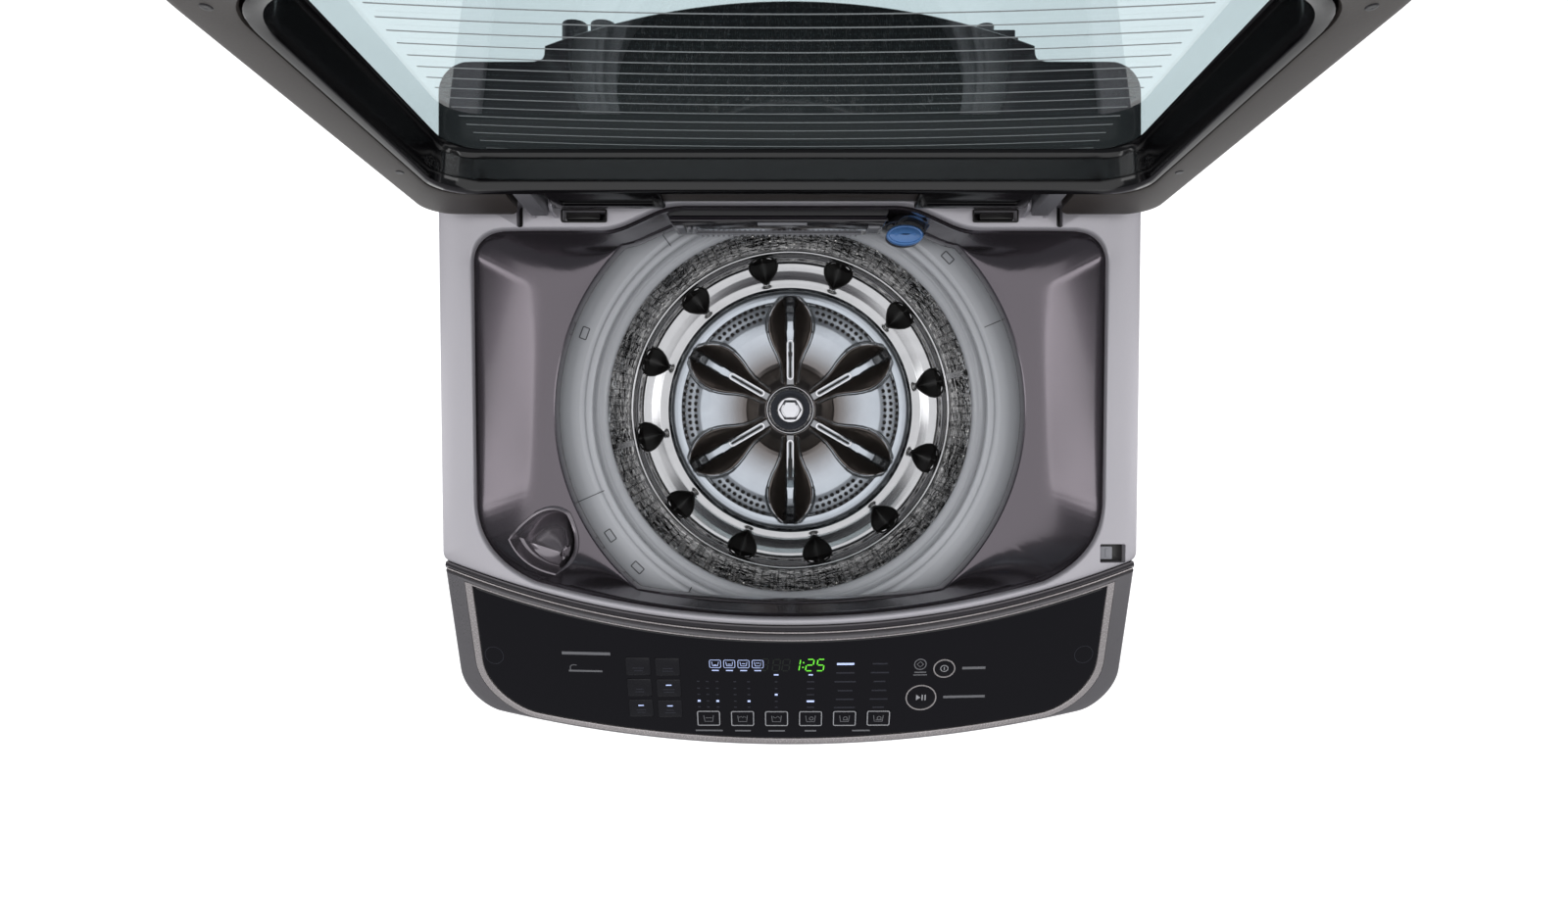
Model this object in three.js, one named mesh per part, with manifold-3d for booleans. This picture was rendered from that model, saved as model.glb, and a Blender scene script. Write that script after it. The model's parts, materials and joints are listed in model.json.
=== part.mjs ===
// Top load washing machine: a suspended tub with a spinning basket and pulsator in a sheet steel
// cabinet, under a moulded top cover with a sloped console and a hinged glass lid, shown open.
// Millimetres, +Z up, +Y to the rear, +X to the right of a person standing in front of the console.
import * as THREE from "three";
import { mergeVertices } from "three/addons/utils/BufferGeometryUtils.js";
import Module from "manifold-3d";

// ---- Driving dimensions -------------------------------------------------------------------------
// The tub's axis is X = 0, Y = 0 while the machine is built; the last group centres the whole.
const HALF_WIDTH = 316;
const FRONT_Y = -326; // middle of the console's bowed front edge
const REAR_Y = 370; // middle of the rear bulge
const GAP = 0.3; // between pieces that rest on each other

const BASE_BOTTOM = 25;
const CABINET_BOTTOM = 70;
const COVER_BOTTOM = 890;
const DECK_Z = 973.5; // top cover's rim at the hinge
const DECK_SLOPE = Math.tan(THREE.MathUtils.degToRad(1.8)); // its fall towards the console
const HINGE_Y = 181;
const HINGE_Z = 987;
const LID_OPEN_DEG = 96.8; // lean of the open lid, counted from level

const SEAM_CENTRE_Y = 648; // arc between top cover and console
const SEAM_R = 854;
const FRONT_R = 1218; // arc of the console's front edge
const FRONT_CENTRE_Y = FRONT_Y + FRONT_R;
const CONSOLE_HALF = 314.5;
const CONSOLE_CORNER = 32;
const CONSOLE_REAR_Z = 960;
const CONSOLE_FRONT_Z = 915;

const WING_Y = 316; // rear edge of the cover beside its bulge
const BULGE_HALF = 221;
const BULGE_R = 625;
const INLET_X = [-204, -177]; // threaded water inlets, and the gland of the mains lead
const INLET_R = 12;
const INLET_Z = 930;
const GLAND_X = [158, 214];
const CABINET_HALF = 313;
const CABINET_REAR_Y = 308;
const SHEET = 1;

const MOUTH_R = 229; // round opening of the cover's bowl
const MOUTH_Z = 915;
const MOUTH_LIP_Z = 897;

const TUB_R = 283.7;
const TUB_WALL = 3.5;
const TUB_BOTTOM = 330;
const TUB_TOP = 868;
const BASKET_R = 249.5;
const BASKET_FLOOR_Z = 432;
const PULSATOR_R = 188.5;
const PULSATOR_Z = 424;
const ROD_XY = 262;
const ROD_FOOT_Z = 300;
const LUG_Z = 380;
const SPRING_TURNS = 5;

const wasm = await Module();
wasm.setup();

// ---- Solids -------------------------------------------------------------------------------------
// A closed three.js geometry as a solid with its faces pointing out.
function solid(geometry) {
  const bare = geometry.clone();
  bare.deleteAttribute("normal");
  bare.deleteAttribute("uv");
  const merged = mergeVertices(bare, 1e-4);
  const source = merged.index.array;
  const faces = [];
  for (let i = 0; i < source.length; i += 3) {
    const [a, b, c] = [source[i], source[i + 1], source[i + 2]];
    if (a !== b && b !== c && c !== a) faces.push(a, b, c);
  }
  const build = () =>
    new wasm.Manifold(
      new wasm.Mesh({
        numProp: 3,
        vertProperties: merged.attributes.position.array,
        triVerts: new Uint32Array(faces),
      }),
    );
  const made = build();
  if (made.volume() >= 0) return made;
  for (let i = 0; i < faces.length; i += 3) [faces[i + 1], faces[i + 2]] = [faces[i + 2], faces[i + 1]];
  return build();
}

const join = (first, ...others) => others.reduce((all, next) => all.add(next), first);
const cut = (from, ...tools) => tools.reduce((left, tool) => left.subtract(tool), from);

function box([x0, x1], [y0, y1], [z0, z1]) {
  const shape = new THREE.BoxGeometry(x1 - x0, y1 - y0, z1 - z0);
  return solid(shape.translate((x0 + x1) / 2, (y0 + y1) / 2, (z0 + z1) / 2));
}

// An upright cylinder, or one along X or Y, from a to b on that axis.
function rod(r, [a, b], [u, v], axis = "z", sides = 16) {
  const shape = new THREE.CylinderGeometry(r, r, b - a, sides);
  if (axis === "x") return solid(shape.rotateZ(Math.PI / 2).translate((a + b) / 2, u, v));
  if (axis === "y") return solid(shape.translate(u, (a + b) / 2, v));
  return solid(shape.rotateX(Math.PI / 2).translate(u, v, (a + b) / 2));
}

// A ring or disc turned about the tub's axis from a closed [radius, height] profile.
function turned(profile, sides = 36) {
  const points = [...profile, profile[0]].map(([r, z]) => new THREE.Vector2(r, z));
  return solid(new THREE.LatheGeometry(points, sides).rotateX(Math.PI / 2));
}

function prism(shape, [z0, z1], curveSegments = 5) {
  const made = new THREE.ExtrudeGeometry(shape, { depth: z1 - z0, bevelEnabled: false, curveSegments });
  return solid(made.translate(0, 0, z0));
}

// A profile of [y, z] points drawn out along X.
function bar(profile, [x0, x1]) {
  const shape = new THREE.Shape(profile.map(([y, z]) => new THREE.Vector2(y, z)));
  const made = new THREE.ExtrudeGeometry(shape, { depth: x1 - x0, bevelEnabled: false });
  return solid(made.rotateZ(Math.PI / 2).rotateY(Math.PI / 2).translate(x0, 0, 0));
}

// A closed body through rings with the same number of points, with a fan at each end.
function loft(rings) {
  const count = rings[0].length;
  const points = rings.flat();
  const faces = [];
  rings.slice(1).forEach((_, k) => {
    for (let i = 0; i < count; i++) {
      const a = k * count + i;
      const b = k * count + ((i + 1) % count);
      faces.push(a, b, b + count, a, b + count, a + count);
    }
  });
  [0, rings.length - 1].forEach((k) => {
    const middle = rings[k].reduce((sum, p) => sum.add(p), new THREE.Vector3()).divideScalar(count);
    points.push(middle);
    for (let i = 0; i < count; i++) {
      const edge = [k * count + i, k * count + ((i + 1) % count)];
      if (k === 0) edge.reverse();
      faces.push(edge[0], edge[1], points.length - 1);
    }
  });
  return solid(new THREE.BufferGeometry().setFromPoints(points).setIndex(faces));
}

// ---- Finishes -----------------------------------------------------------------------------------
const finish = (color, roughness, metalness = 0) =>
  new THREE.MeshStandardMaterial({ color, roughness, metalness });
const paintedSteel = () => finish(0xb9b7bb, 0.45, 0.3);
const silverPlastic = () => finish(0xb4b2b6, 0.5);
const consoleMetal = () => finish(0x84807f, 0.35, 0.4);
const blackGloss = () => finish(0x18161b, 0.08);
const brownBlack = () => finish(0x3b3633, 0.55);
const darkPlastic = () => finish(0x2a292c, 0.5);
const stainless = () => finish(0xa9a6a3, 0.28, 1);
const bluishPlastic = () => finish(0x9fa2a8, 0.4);
const chrome = () => finish(0xd8d8da, 0.1, 1);
const zincSteel = () => finish(0xa2a4a6, 0.4, 1);
const keyPlastic = () => finish(0x232228, 0.2);
const greyPlastic = () => finish(0x8d8d90, 0.5);

// ---- Scene --------------------------------------------------------------------------------------
const machine = new THREE.Group();

function node(name, made, material, parent = machine) {
  const { vertProperties, triVerts } = made.getMesh();
  const geometry = new THREE.BufferGeometry();
  geometry.setAttribute("position", new THREE.BufferAttribute(vertProperties, 3));
  geometry.setIndex(new THREE.BufferAttribute(triVerts, 1));
  geometry.computeVertexNormals();
  const mesh = new THREE.Mesh(geometry, material);
  mesh.name = name;
  parent.add(mesh);
  return mesh;
}

// ---- Outlines -----------------------------------------------------------------------------------
const arcY = (x, r, centreY) => centreY - Math.sqrt(r * r - x * x);

// The cabinet in plan: bowed front, straight sides and rear, rounded corners.
function cabinetOutline(inset) {
  const w = CABINET_HALF - inset;
  const r = FRONT_R - 8 - inset;
  const corner = 36 - inset;
  const turn = Math.asin((w - corner) / r);
  const endY = arcY(w - corner, r, FRONT_CENTRE_Y);
  const slope = Math.tan(turn) * corner;
  const rear = CABINET_REAR_Y - inset;
  const rearCorner = 28 - inset;
  const shape = new THREE.Shape();
  shape.moveTo(-w, endY + corner);
  shape.quadraticCurveTo(-w, endY + slope, -w + corner, endY);
  shape.absarc(0, FRONT_CENTRE_Y, r, -Math.PI / 2 - turn, -Math.PI / 2 + turn, false);
  shape.quadraticCurveTo(w, endY + slope, w, endY + corner);
  shape.absarc(w - rearCorner, rear - rearCorner, rearCorner, 0, Math.PI / 2, false);
  shape.absarc(-w + rearCorner, rear - rearCorner, rearCorner, Math.PI / 2, Math.PI, false);
  return shape;
}

// The top cover in plan: a concave front seam to the console, wings and a bowed bulge at the rear.
function coverOutline(inset) {
  const w = HALF_WIDTH - inset;
  const r = SEAM_R - GAP - inset;
  const turn = Math.asin(w / r);
  const corner = 28 - inset;
  const bulgeTurn = Math.asin((BULGE_HALF - inset) / (BULGE_R - inset));
  const shape = new THREE.Shape();
  shape.absarc(0, SEAM_CENTRE_Y, r, -Math.PI / 2 - turn, -Math.PI / 2 + turn, false);
  shape.absarc(w - corner, WING_Y - inset - corner, corner, 0, Math.PI / 2, false);
  shape.lineTo(BULGE_HALF - inset + 10, WING_Y - inset);
  shape.absarc(0, REAR_Y - BULGE_R, BULGE_R - inset, Math.PI / 2 - bulgeTurn, Math.PI / 2 + bulgeTurn, false);
  shape.lineTo(-BULGE_HALF + inset - 10, WING_Y - inset);
  shape.absarc(-w + corner, WING_Y - inset - corner, corner, Math.PI / 2, Math.PI, false);
  return shape;
}

// The lid in plan, in the lid's own frame: the hinge axis is y = 0 and the front edge is at -y.
function lidOutline(inset) {
  const w = HALF_WIDTH - inset;
  const r = SEAM_R - 2 - inset;
  const centreY = SEAM_CENTRE_Y - HINGE_Y;
  const corner = 30;
  const rear = -13.6 - inset;
  const turn = Math.asin((w - corner) / r);
  const endY = arcY(w - corner, r, centreY);
  const slope = Math.tan(turn) * corner;
  const shape = new THREE.Shape();
  shape.moveTo(-w, endY + slope + corner * 0.9);
  shape.quadraticCurveTo(-w, endY + slope, -w + corner, endY);
  shape.absarc(0, centreY, r, -Math.PI / 2 - turn, -Math.PI / 2 + turn, false);
  shape.quadraticCurveTo(w, endY + slope, w, endY + slope + corner * 0.9);
  shape.absarc(w - 24, rear - 24, 24, 0, Math.PI / 2, false);
  shape.absarc(-w + 24, rear - 24, 24, Math.PI / 2, Math.PI, false);
  return shape;
}

// ---- Cabinet ------------------------------------------------------------------------------------
function rodCorners() {
  return [
    [-1, -1],
    [1, -1],
    [1, 1],
    [-1, 1],
  ];
}

function cabinetShell() {
  const outer = prism(cabinetOutline(0), [CABINET_BOTTOM, COVER_BOTTOM - GAP]);
  const inner = prism(cabinetOutline(SHEET), [CABINET_BOTTOM - 1, COVER_BOTTOM + 1]);
  const serviceOpening = box([-270, 270], [CABINET_REAR_Y - 20, CABINET_REAR_Y + 5], [100, 850]);
  const corner = new THREE.Shape([
    new THREE.Vector2(CABINET_HALF, CABINET_REAR_Y - 90),
    new THREE.Vector2(CABINET_HALF, CABINET_REAR_Y),
    new THREE.Vector2(CABINET_HALF - 90, CABINET_REAR_Y),
  ]);
  const plate = new THREE.ExtrudeGeometry(corner, { depth: 4, bevelEnabled: false }).translate(0, 0, 872);
  const within = prism(cabinetOutline(SHEET / 2), [860, COVER_BOTTOM]);
  const brackets = rodCorners().map(([sx, sy]) => {
    const turnedPlate = solid(plate.clone().scale(sx, sy, 1)).intersect(within);
    return cut(turnedPlate, rod(5, [860, 890], [sx * ROD_XY, sy * ROD_XY], "z", 12));
  });
  return join(cut(outer, inner, serviceOpening), ...brackets);
}

function rearPanel() {
  const y = CABINET_REAR_Y + GAP;
  const plate = box([-286, 286], [y, y + SHEET], [80, 866]);
  const dish = box([-205, 205], [y, y + 16], [190, 720]);
  const hollow = box([-203, 203], [y - 1, y + 14], [192, 718]);
  return cut(join(plate, dish), hollow);
}

const FOOT_X = 255;
const FOOT_Y = [-238, 258];

function baseFrame() {
  const top = CABINET_BOTTOM - GAP;
  const wall = cut(
    prism(cabinetOutline(0), [BASE_BOTTOM, top]),
    prism(cabinetOutline(5), [BASE_BOTTOM - 1, top + 1]),
  );
  const blocks = [];
  const holes = [];
  for (const sx of [-1, 1]) {
    for (const y of FOOT_Y) {
      const xs = [sx * (CABINET_HALF - 3), sx * (FOOT_X - 30)].sort((a, b) => a - b);
      blocks.push(box(xs, [y - 30, y + 30], [BASE_BOTTOM + 1, top - 3]));
      holes.push(rod(6.6, [BASE_BOTTOM - 1, BASE_BOTTOM + 36], [sx * FOOT_X, y], "z", 16));
    }
  }
  const pumpShelf = box([-222, -110], [-230, -130], [top - 6, top]);
  const crossRib = box([-310, 310], [-134, -128], [BASE_BOTTOM + 10, top - 2]);
  return cut(join(wall, ...blocks, pumpShelf, crossRib), ...holes);
}

function foot(x, y) {
  const pad = rod(23, [0, 11], [x, y], "z", 20);
  const collar = rod(13, [10.9, 16], [x, y], "z", 12);
  return join(pad, collar, rod(6, [15.9, BASE_BOTTOM + 20], [x, y], "z", 12));
}

node("cabinet_shell", cabinetShell(), paintedSteel());
node("rear_panel", rearPanel(), paintedSteel());
node("base_frame", baseFrame(), darkPlastic());
["left", "right"].forEach((side, i) =>
  ["front", "rear"].forEach((end, k) =>
    node(`foot_${end}_${side}`, foot([-FOOT_X, FOOT_X][i], FOOT_Y[k]), darkPlastic()),
  ),
);

// ---- Top cover ----------------------------------------------------------------------------------
// Edge of the bowl at deck level: straight behind the dispenser, stepped forward at the hinge
// platforms, rounded corners, and a front edge that runs beside the seam.
function bowlEdge() {
  const frontR = SEAM_R - 16;
  const turn = Math.asin(232 / frontR);
  const frontEndY = arcY(232, frontR, SEAM_CENTRE_Y);
  const edge = new THREE.Shape();
  edge.absarc(0, SEAM_CENTRE_Y, frontR, -Math.PI / 2 - turn, -Math.PI / 2 + turn, false);
  edge.quadraticCurveTo(286, frontEndY + 24, 286, frontEndY + 76);
  edge.absarc(286 - 27, 161 - 27, 27, 0, Math.PI / 2, false);
  edge.lineTo(113, 161);
  edge.lineTo(108, 185);
  edge.lineTo(-108, 185);
  edge.lineTo(-113, 161);
  edge.absarc(-286 + 27, 161 - 27, 27, Math.PI / 2, Math.PI, false);
  edge.lineTo(-286, frontEndY + 76);
  edge.quadraticCurveTo(-286, frontEndY + 24, -232, frontEndY);
  return edge.getPoints(8);
}

// Distance from the tub's axis to a closed outline in the direction of an angle.
function reach(outline, angle) {
  const d = new THREE.Vector2(Math.cos(angle), Math.sin(angle));
  let best = 0;
  outline.forEach((a, i) => {
    const side = outline[(i + 1) % outline.length].clone().sub(a);
    const across = d.cross(side);
    if (Math.abs(across) < 1e-9) return;
    const along = a.cross(d) / across;
    const distance = a.cross(side) / across;
    if (along >= -1e-9 && along <= 1 + 1e-9 && distance > best) best = distance;
  });
  return best;
}

const deckHeight = (y) => DECK_Z + Math.min(0, y - HINGE_Y) * DECK_SLOPE;

// The space of the bowl, from above the deck down through the round mouth, grown by a wall.
function bowlSpace(wall) {
  const outline = bowlEdge();
  const sides = 52;
  const levels = [
    { blend: 0, drop: -40 },
    { blend: 0, drop: 3 },
    { blend: 0.45, drop: 32 },
    { blend: 1, drop: null },
    { blend: 1, drop: 200 },
  ];
  const rings = levels.map(({ blend, drop }) =>
    Array.from({ length: sides }, (_, i) => {
      const angle = (2 * Math.PI * (i + 0.5)) / sides;
      const outer = reach(outline, angle);
      const r = THREE.MathUtils.lerp(outer, Math.min(MOUTH_R, outer), blend) + wall;
      const z = drop === null ? MOUTH_Z : Math.max(DECK_Z - 8 - drop, 860);
      const down = drop !== null && drop < 0 ? 0 : wall;
      return new THREE.Vector3(r * Math.cos(angle), r * Math.sin(angle), z - down);
    }),
  );
  return loft(rings);
}

// The deck's height profile as a block that trims what stands above it.
function deckBlock(shape, lower, bottom) {
  const top = (y) => deckHeight(y) - lower;
  const profile = [
    [-260, bottom],
    [REAR_Y + 10, bottom],
    [REAR_Y + 10, top(REAR_Y)],
    [HINGE_Y, top(HINGE_Y)],
    [-260, top(-260)],
  ];
  return prism(shape, [bottom - 5, DECK_Z + 20]).intersect(bar(profile, [-HALF_WIDTH - 5, HALF_WIDTH + 5]));
}

// Bleach pocket, a teardrop recess at the bowl's front left corner.
function bleachPocket(grow) {
  const shape = new THREE.Shape();
  shape.moveTo(-262 - grow, -121);
  shape.quadraticCurveTo(-238, -84 + grow, -215 + grow, -101 + grow);
  shape.quadraticCurveTo(-196 + grow, -138, -219, -154 - grow);
  shape.quadraticCurveTo(-250 - grow, -146 - grow, -262 - grow, -121);
  return shape;
}

function topCover() {
  const wall = 4;
  const body = deckBlock(coverOutline(0), 0, COVER_BOTTOM);
  const hollow = cut(
    deckBlock(coverOutline(wall), wall, COVER_BOTTOM - 1),
    bowlSpace(wall),
    prism(bleachPocket(3), [934, DECK_Z]),
  );
  const lipTrim = turned([
    [1, COVER_BOTTOM - 2],
    [MOUTH_R + wall + 1, COVER_BOTTOM - 2],
    [MOUTH_R + wall + 1, MOUTH_LIP_Z],
    [1, MOUTH_LIP_Z],
  ]);
  const dispenserOpening = box([-115, 93], [150, 302], [880, 957]);
  const softenerRecess = rod(25, [880, 932], [112, 176]);
  const lockSlot = box([282, 305], [-139, -122], [945, 980]);
  const bumps = [];
  const slots = [];
  for (const side of [-1, 1]) {
    const xs = (a, b) => [side * a, side * b].sort((p, q) => p - q);
    slots.push(box(xs(165, 204), [169, 179], [950, 980]));
    for (const [a, b] of [
      [207, 210.7],
      [227.3, 231],
    ]) {
      const ear = join(
        box(xs(a, b), [HINGE_Y - 8, HINGE_Y + 8], [DECK_Z - 3, HINGE_Z]),
        rod(8, xs(a, b), [HINGE_Y, HINGE_Z], "x", 16),
      );
      bumps.push(ear);
      slots.push(rod(4.6, xs(a - 1, b + 1), [HINGE_Y, HINGE_Z], "x", 16));
    }
  }
  const inletHoles = INLET_X.map((x) => rod(INLET_R + 0.6, [300, 360], [x, INLET_Z], "y"));
  const glandHole = box([GLAND_X[0] - 0.6, GLAND_X[1] + 0.6], [300, 372], [913.6, 941.4]);
  return cut(
    join(cut(body, hollow, bowlSpace(0), prism(bleachPocket(0), [938, 990])), ...bumps),
    lipTrim,
    dispenserOpening,
    softenerRecess,
    lockSlot,
    ...slots,
    ...inletHoles,
    glandHole,
    rod(5.3, [925, 945], [-210, -135], "z", 12),
  );
}

node("top_cover", topCover(), silverPlastic());

// ---- Behind the bowl: dispenser, valve and gland -------------------------------------------------
function dispenserBox() {
  const housing = cut(
    box([-113, 91], [178.5, 297], [MOUTH_LIP_Z, 955]),
    box([-109.5, 87.5], [170, 294], [900, 952]),
  );
  const flume = box([-60, 40], [290, 300], [930, 955]);
  const well = cut(rod(22.5, [MOUTH_LIP_Z, 907], [112, 176]), rod(9, [900, 910], [112, 176]));
  const bridge = box([90, 100], [180, 192], [MOUTH_LIP_Z, 903]);
  return join(housing, flume, bridge, well);
}

function detergentDrawer() {
  const tray = cut(
    box([-108.5, 86.5], [176, 288], [901, 950]),
    box([-105.5, 83.5], [179.5, 285], [904, 960]),
  );
  const divider = box([8, 11], [178, 287], [903, 946]);
  const face = box([-111, 89], [173, 177.9], [899, 956]);
  return join(tray, divider, face);
}

function softenerCap() {
  const profile = [
    [0, 907.5],
    [18.5, 907.5],
    [18.5, 914],
    [16, 916.5],
    [0, 916.5],
  ];
  return turned(profile, 24);
}

function inletValve() {
  const body = box([-215, -166], [288, 318], [906, 952]);
  const stubs = INLET_X.map((x) =>
    cut(rod(INLET_R, [317, 368], [x, INLET_Z], "y"), rod(8, [330, 370], [x, INLET_Z], "y")),
  );
  const solenoids = INLET_X.map((x) => rod(11, [262, 289], [x, INLET_Z], "y", 12));
  return join(body, ...stubs, ...solenoids);
}

function cordGland() {
  const [x0, x1] = GLAND_X;
  const middle = [(x0 + x1) / 2, 927.5];
  const block = box([x0, x1], [312, 352], [914.2, 940.8]);
  const flange = box([x0 + 2, x1 - 2], [351, 360], [917, 938]);
  const exit = cut(rod(8.5, [359, 368], middle, "y"), rod(4, [355, 370], middle, "y", 12));
  return join(block, flange, exit);
}

node("dispenser_box", dispenserBox(), darkPlastic());
node("detergent_drawer", detergentDrawer(), blackGloss());
const softener = node("softener_cap", softenerCap(), finish(0x5a8ccd, 0.35));
softener.position.set(112, 168, 0);
node("inlet_valve", inletValve(), darkPlastic());
node("cord_gland", cordGland(), darkPlastic());

// ---- Lid lock -----------------------------------------------------------------------------------
node("lid_lock_housing", box([289, 309], [-143, -112], [926, 955.5]), darkPlastic());
node("lid_lock_slider", box([283.2, 294.2], [-136.3, -124.7], [956, 961.6]), greyPlastic());

// ---- Console ------------------------------------------------------------------------------------
// Rear and front edges of the console in plan, and its ruled top surface between them.
const consoleRear = (x) => arcY(x, SEAM_R, SEAM_CENTRE_Y);

function consoleFront(x, inset = 0) {
  const corner = CONSOLE_CORNER - inset;
  const straight = CONSOLE_HALF - CONSOLE_CORNER;
  const y = arcY(Math.min(Math.abs(x), straight), FRONT_R - inset, FRONT_CENTRE_Y);
  const t = Math.max(0, Math.abs(x) - straight) / corner;
  return y + corner * (1 - Math.sqrt(Math.max(0, 1 - t * t)));
}

function consoleHeight(x, y) {
  const t = (consoleRear(x) - y) / (consoleRear(x) - consoleFront(x));
  return THREE.MathUtils.lerp(CONSOLE_REAR_Z, CONSOLE_FRONT_Z, t);
}

// A band of the console inside its outline: its top and bottom are heights over the surface, or the
// bottom is level.
function consoleBand(inset, top, { below = null, level = null }) {
  const straight = CONSOLE_HALF - CONSOLE_CORNER;
  const corner = CONSOLE_CORNER - inset;
  const half = [0, 1, 2, 3, 4, 5, 6, 7].map((k) => (straight * k) / 7);
  for (let k = 1; k <= 5; k++) half.push(straight + corner * Math.sin((k * Math.PI) / 10));
  const stations = [...half.slice(1).reverse().map((x) => -x), ...half];
  const rings = stations.map((x) => {
    const ys = [consoleRear(x) - inset, consoleFront(x, inset)];
    const under = (y) => (level === null ? consoleHeight(x, y) - below : level);
    return [
      new THREE.Vector3(x, ys[0], consoleHeight(x, ys[0]) + top),
      new THREE.Vector3(x, ys[1], consoleHeight(x, ys[1]) + top),
      new THREE.Vector3(x, ys[1], under(ys[1])),
      new THREE.Vector3(x, ys[0], under(ys[0])),
    ];
  });
  return loft(rings);
}

const outlinedKeys = [0, 1, 2, 3, 4, 5].map((i) => ({
  name: `course_key_${i + 1}`,
  x: 3.5 + (i - 2.5) * 32.4,
  y: -295,
  size: [23.5, 19],
}));
const squareKeys = [0, 1, 2, 3, 4, 5].map((i) => ({
  name: `option_key_${i + 1}`,
  x: i % 2 ? -113.9 : -141.6,
  y: -240 - 22.5 * Math.floor(i / 2),
  size: [23, 19.5],
}));
const ringKeys = [
  { name: "power_key", x: 144.3, y: -242, r: 11 },
  { name: "start_key", x: 124.1, y: -272.8, r: 15.3 },
];
const keys = [...outlinedKeys, ...squareKeys, ...ringKeys];
const KEY_TOP = 0.4;
const KEY_DEPTH = 4;

// A key's body, or the hole it moves in, about its own centre on the console's surface.
function keyShape({ size, r }, grow, depth) {
  if (r) return new THREE.CylinderGeometry(r + grow, r + grow, depth, 18).rotateX(Math.PI / 2);
  return new THREE.BoxGeometry(size[0] + 2 * grow, size[1] + 2 * grow, depth);
}

function placeOnConsole(object, { x, y }) {
  const fall = (CONSOLE_REAR_Z - CONSOLE_FRONT_Z) / (consoleRear(x) - consoleFront(x));
  object.position.set(x, y, consoleHeight(x, y));
  object.rotation.x = Math.atan(fall);
  object.updateMatrix();
  return object;
}

function controlPanel() {
  const holes = keys.map((key) => {
    const place = placeOnConsole(new THREE.Object3D(), key);
    return solid(keyShape(key, GAP, 30).applyMatrix4(place.matrix));
  });
  return cut(consoleBand(11, -0.3, { below: 4 }), ...holes);
}

function consoleHousing() {
  return cut(
    consoleBand(0, 0, { level: COVER_BOTTOM }),
    consoleBand(6, 20, { below: 4.3 }),
    consoleBand(15, 20, { level: COVER_BOTTOM + 4 }),
  );
}

node("console_housing", consoleHousing(), consoleMetal());
node("panel_trim", cut(consoleBand(6.3, 0.4, { below: 4 }), consoleBand(10.7, 9, { below: 9 })), chrome());
node("control_panel", controlPanel(), blackGloss());
for (const key of keys) {
  const body = keyShape(key, 0, KEY_DEPTH).translate(0, 0, KEY_TOP - KEY_DEPTH / 2);
  placeOnConsole(node(key.name, solid(body), keyPlastic()), key);
}
const board = new THREE.BoxGeometry(320, 62, 4).translate(0, 0, -14);
placeOnConsole(node("control_board", solid(board), finish(0x1d5a35, 0.6)), { x: 0, y: -268 });

// ---- Lid ----------------------------------------------------------------------------------------
const lid = new THREE.Group();
lid.position.set(0, HINGE_Y, HINGE_Z);
lid.rotation.x = -THREE.MathUtils.degToRad(LID_OPEN_DEG);
machine.add(lid);
const LID_UNDER = -12;
const LID_TOP = 26;

function lidFrame() {
  const frame = cut(
    prism(lidOutline(0), [LID_UNDER, LID_TOP]),
    prism(lidOutline(34), [LID_UNDER - 1, LID_TOP + 1]),
    prism(lidOutline(9.7), [LID_TOP - 5, LID_TOP + 1]),
  );
  const hingeBoxes = [
    [-205, -108],
    [108, 205],
  ].map((xs) => box(xs, [-34, -4.5], [LID_UNDER + 1.5, 18]));
  return join(frame, ...hingeBoxes);
}

function hingeArm() {
  const barrel = rod(7, [-7.7, 7.7], [0, 0], "x", 16);
  const strap = box([-7.7, 7.7], [-13.3, 0], [-6, 6]);
  return join(barrel, strap, rod(4, [-12.5, 12.5], [0, 0], "x", 16));
}

node("lid_frame", lidFrame(), brownBlack(), lid);
node("lid_glass", prism(lidOutline(10), [LID_TOP - 5 + GAP, LID_TOP - 0.2]), finish(0x8a9aa0, 0.05), lid);
node("hinge_arm_left", hingeArm(), greyPlastic(), lid).position.x = -219;
node("hinge_arm_right", hingeArm(), greyPlastic(), lid).position.x = 219;

// ---- Tub and suspension -------------------------------------------------------------------------
const SUMP_X = -170;
const SUMP_Y = -190;
const CUP_R = 20;

function outerTub() {
  const inner = TUB_R - TUB_WALL;
  const shell = turned([
    [40.3, TUB_BOTTOM],
    [TUB_R, TUB_BOTTOM],
    [TUB_R, TUB_TOP - 14],
    [TUB_R, TUB_TOP],
    [inner, TUB_TOP],
    [inner, TUB_BOTTOM + 5],
    [47, TUB_BOTTOM + 5],
    [47, 362],
    [40.3, 362],
  ]);
  const reachOut = ROD_XY * Math.SQRT2;
  const lugs = rodCorners().map(([sx, sy]) => {
    const arm = new THREE.BoxGeometry(reachOut - CUP_R / 2 - TUB_R + 2, 52, 30);
    arm.translate((reachOut - CUP_R / 2 + TUB_R - 2) / 2, 0, LUG_Z + 30);
    arm.rotateZ(Math.atan2(sy, sx));
    const cup = rod(CUP_R, [LUG_Z, LUG_Z + 48], [sx * ROD_XY, sy * ROD_XY]);
    return join(solid(arm), cup);
  });
  const holes = rodCorners().map(([sx, sy]) =>
    rod(6, [LUG_Z - 5, LUG_Z + 60], [sx * ROD_XY, sy * ROD_XY], "z", 12),
  );
  const sump = rod(24, [TUB_BOTTOM - 12, TUB_BOTTOM + 1], [SUMP_X, SUMP_Y]);
  const outlet = rod(16, [TUB_BOTTOM - 13, TUB_BOTTOM + 8], [SUMP_X, SUMP_Y]);
  return cut(join(shell, ...lugs, sump), ...holes, outlet);
}

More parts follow.
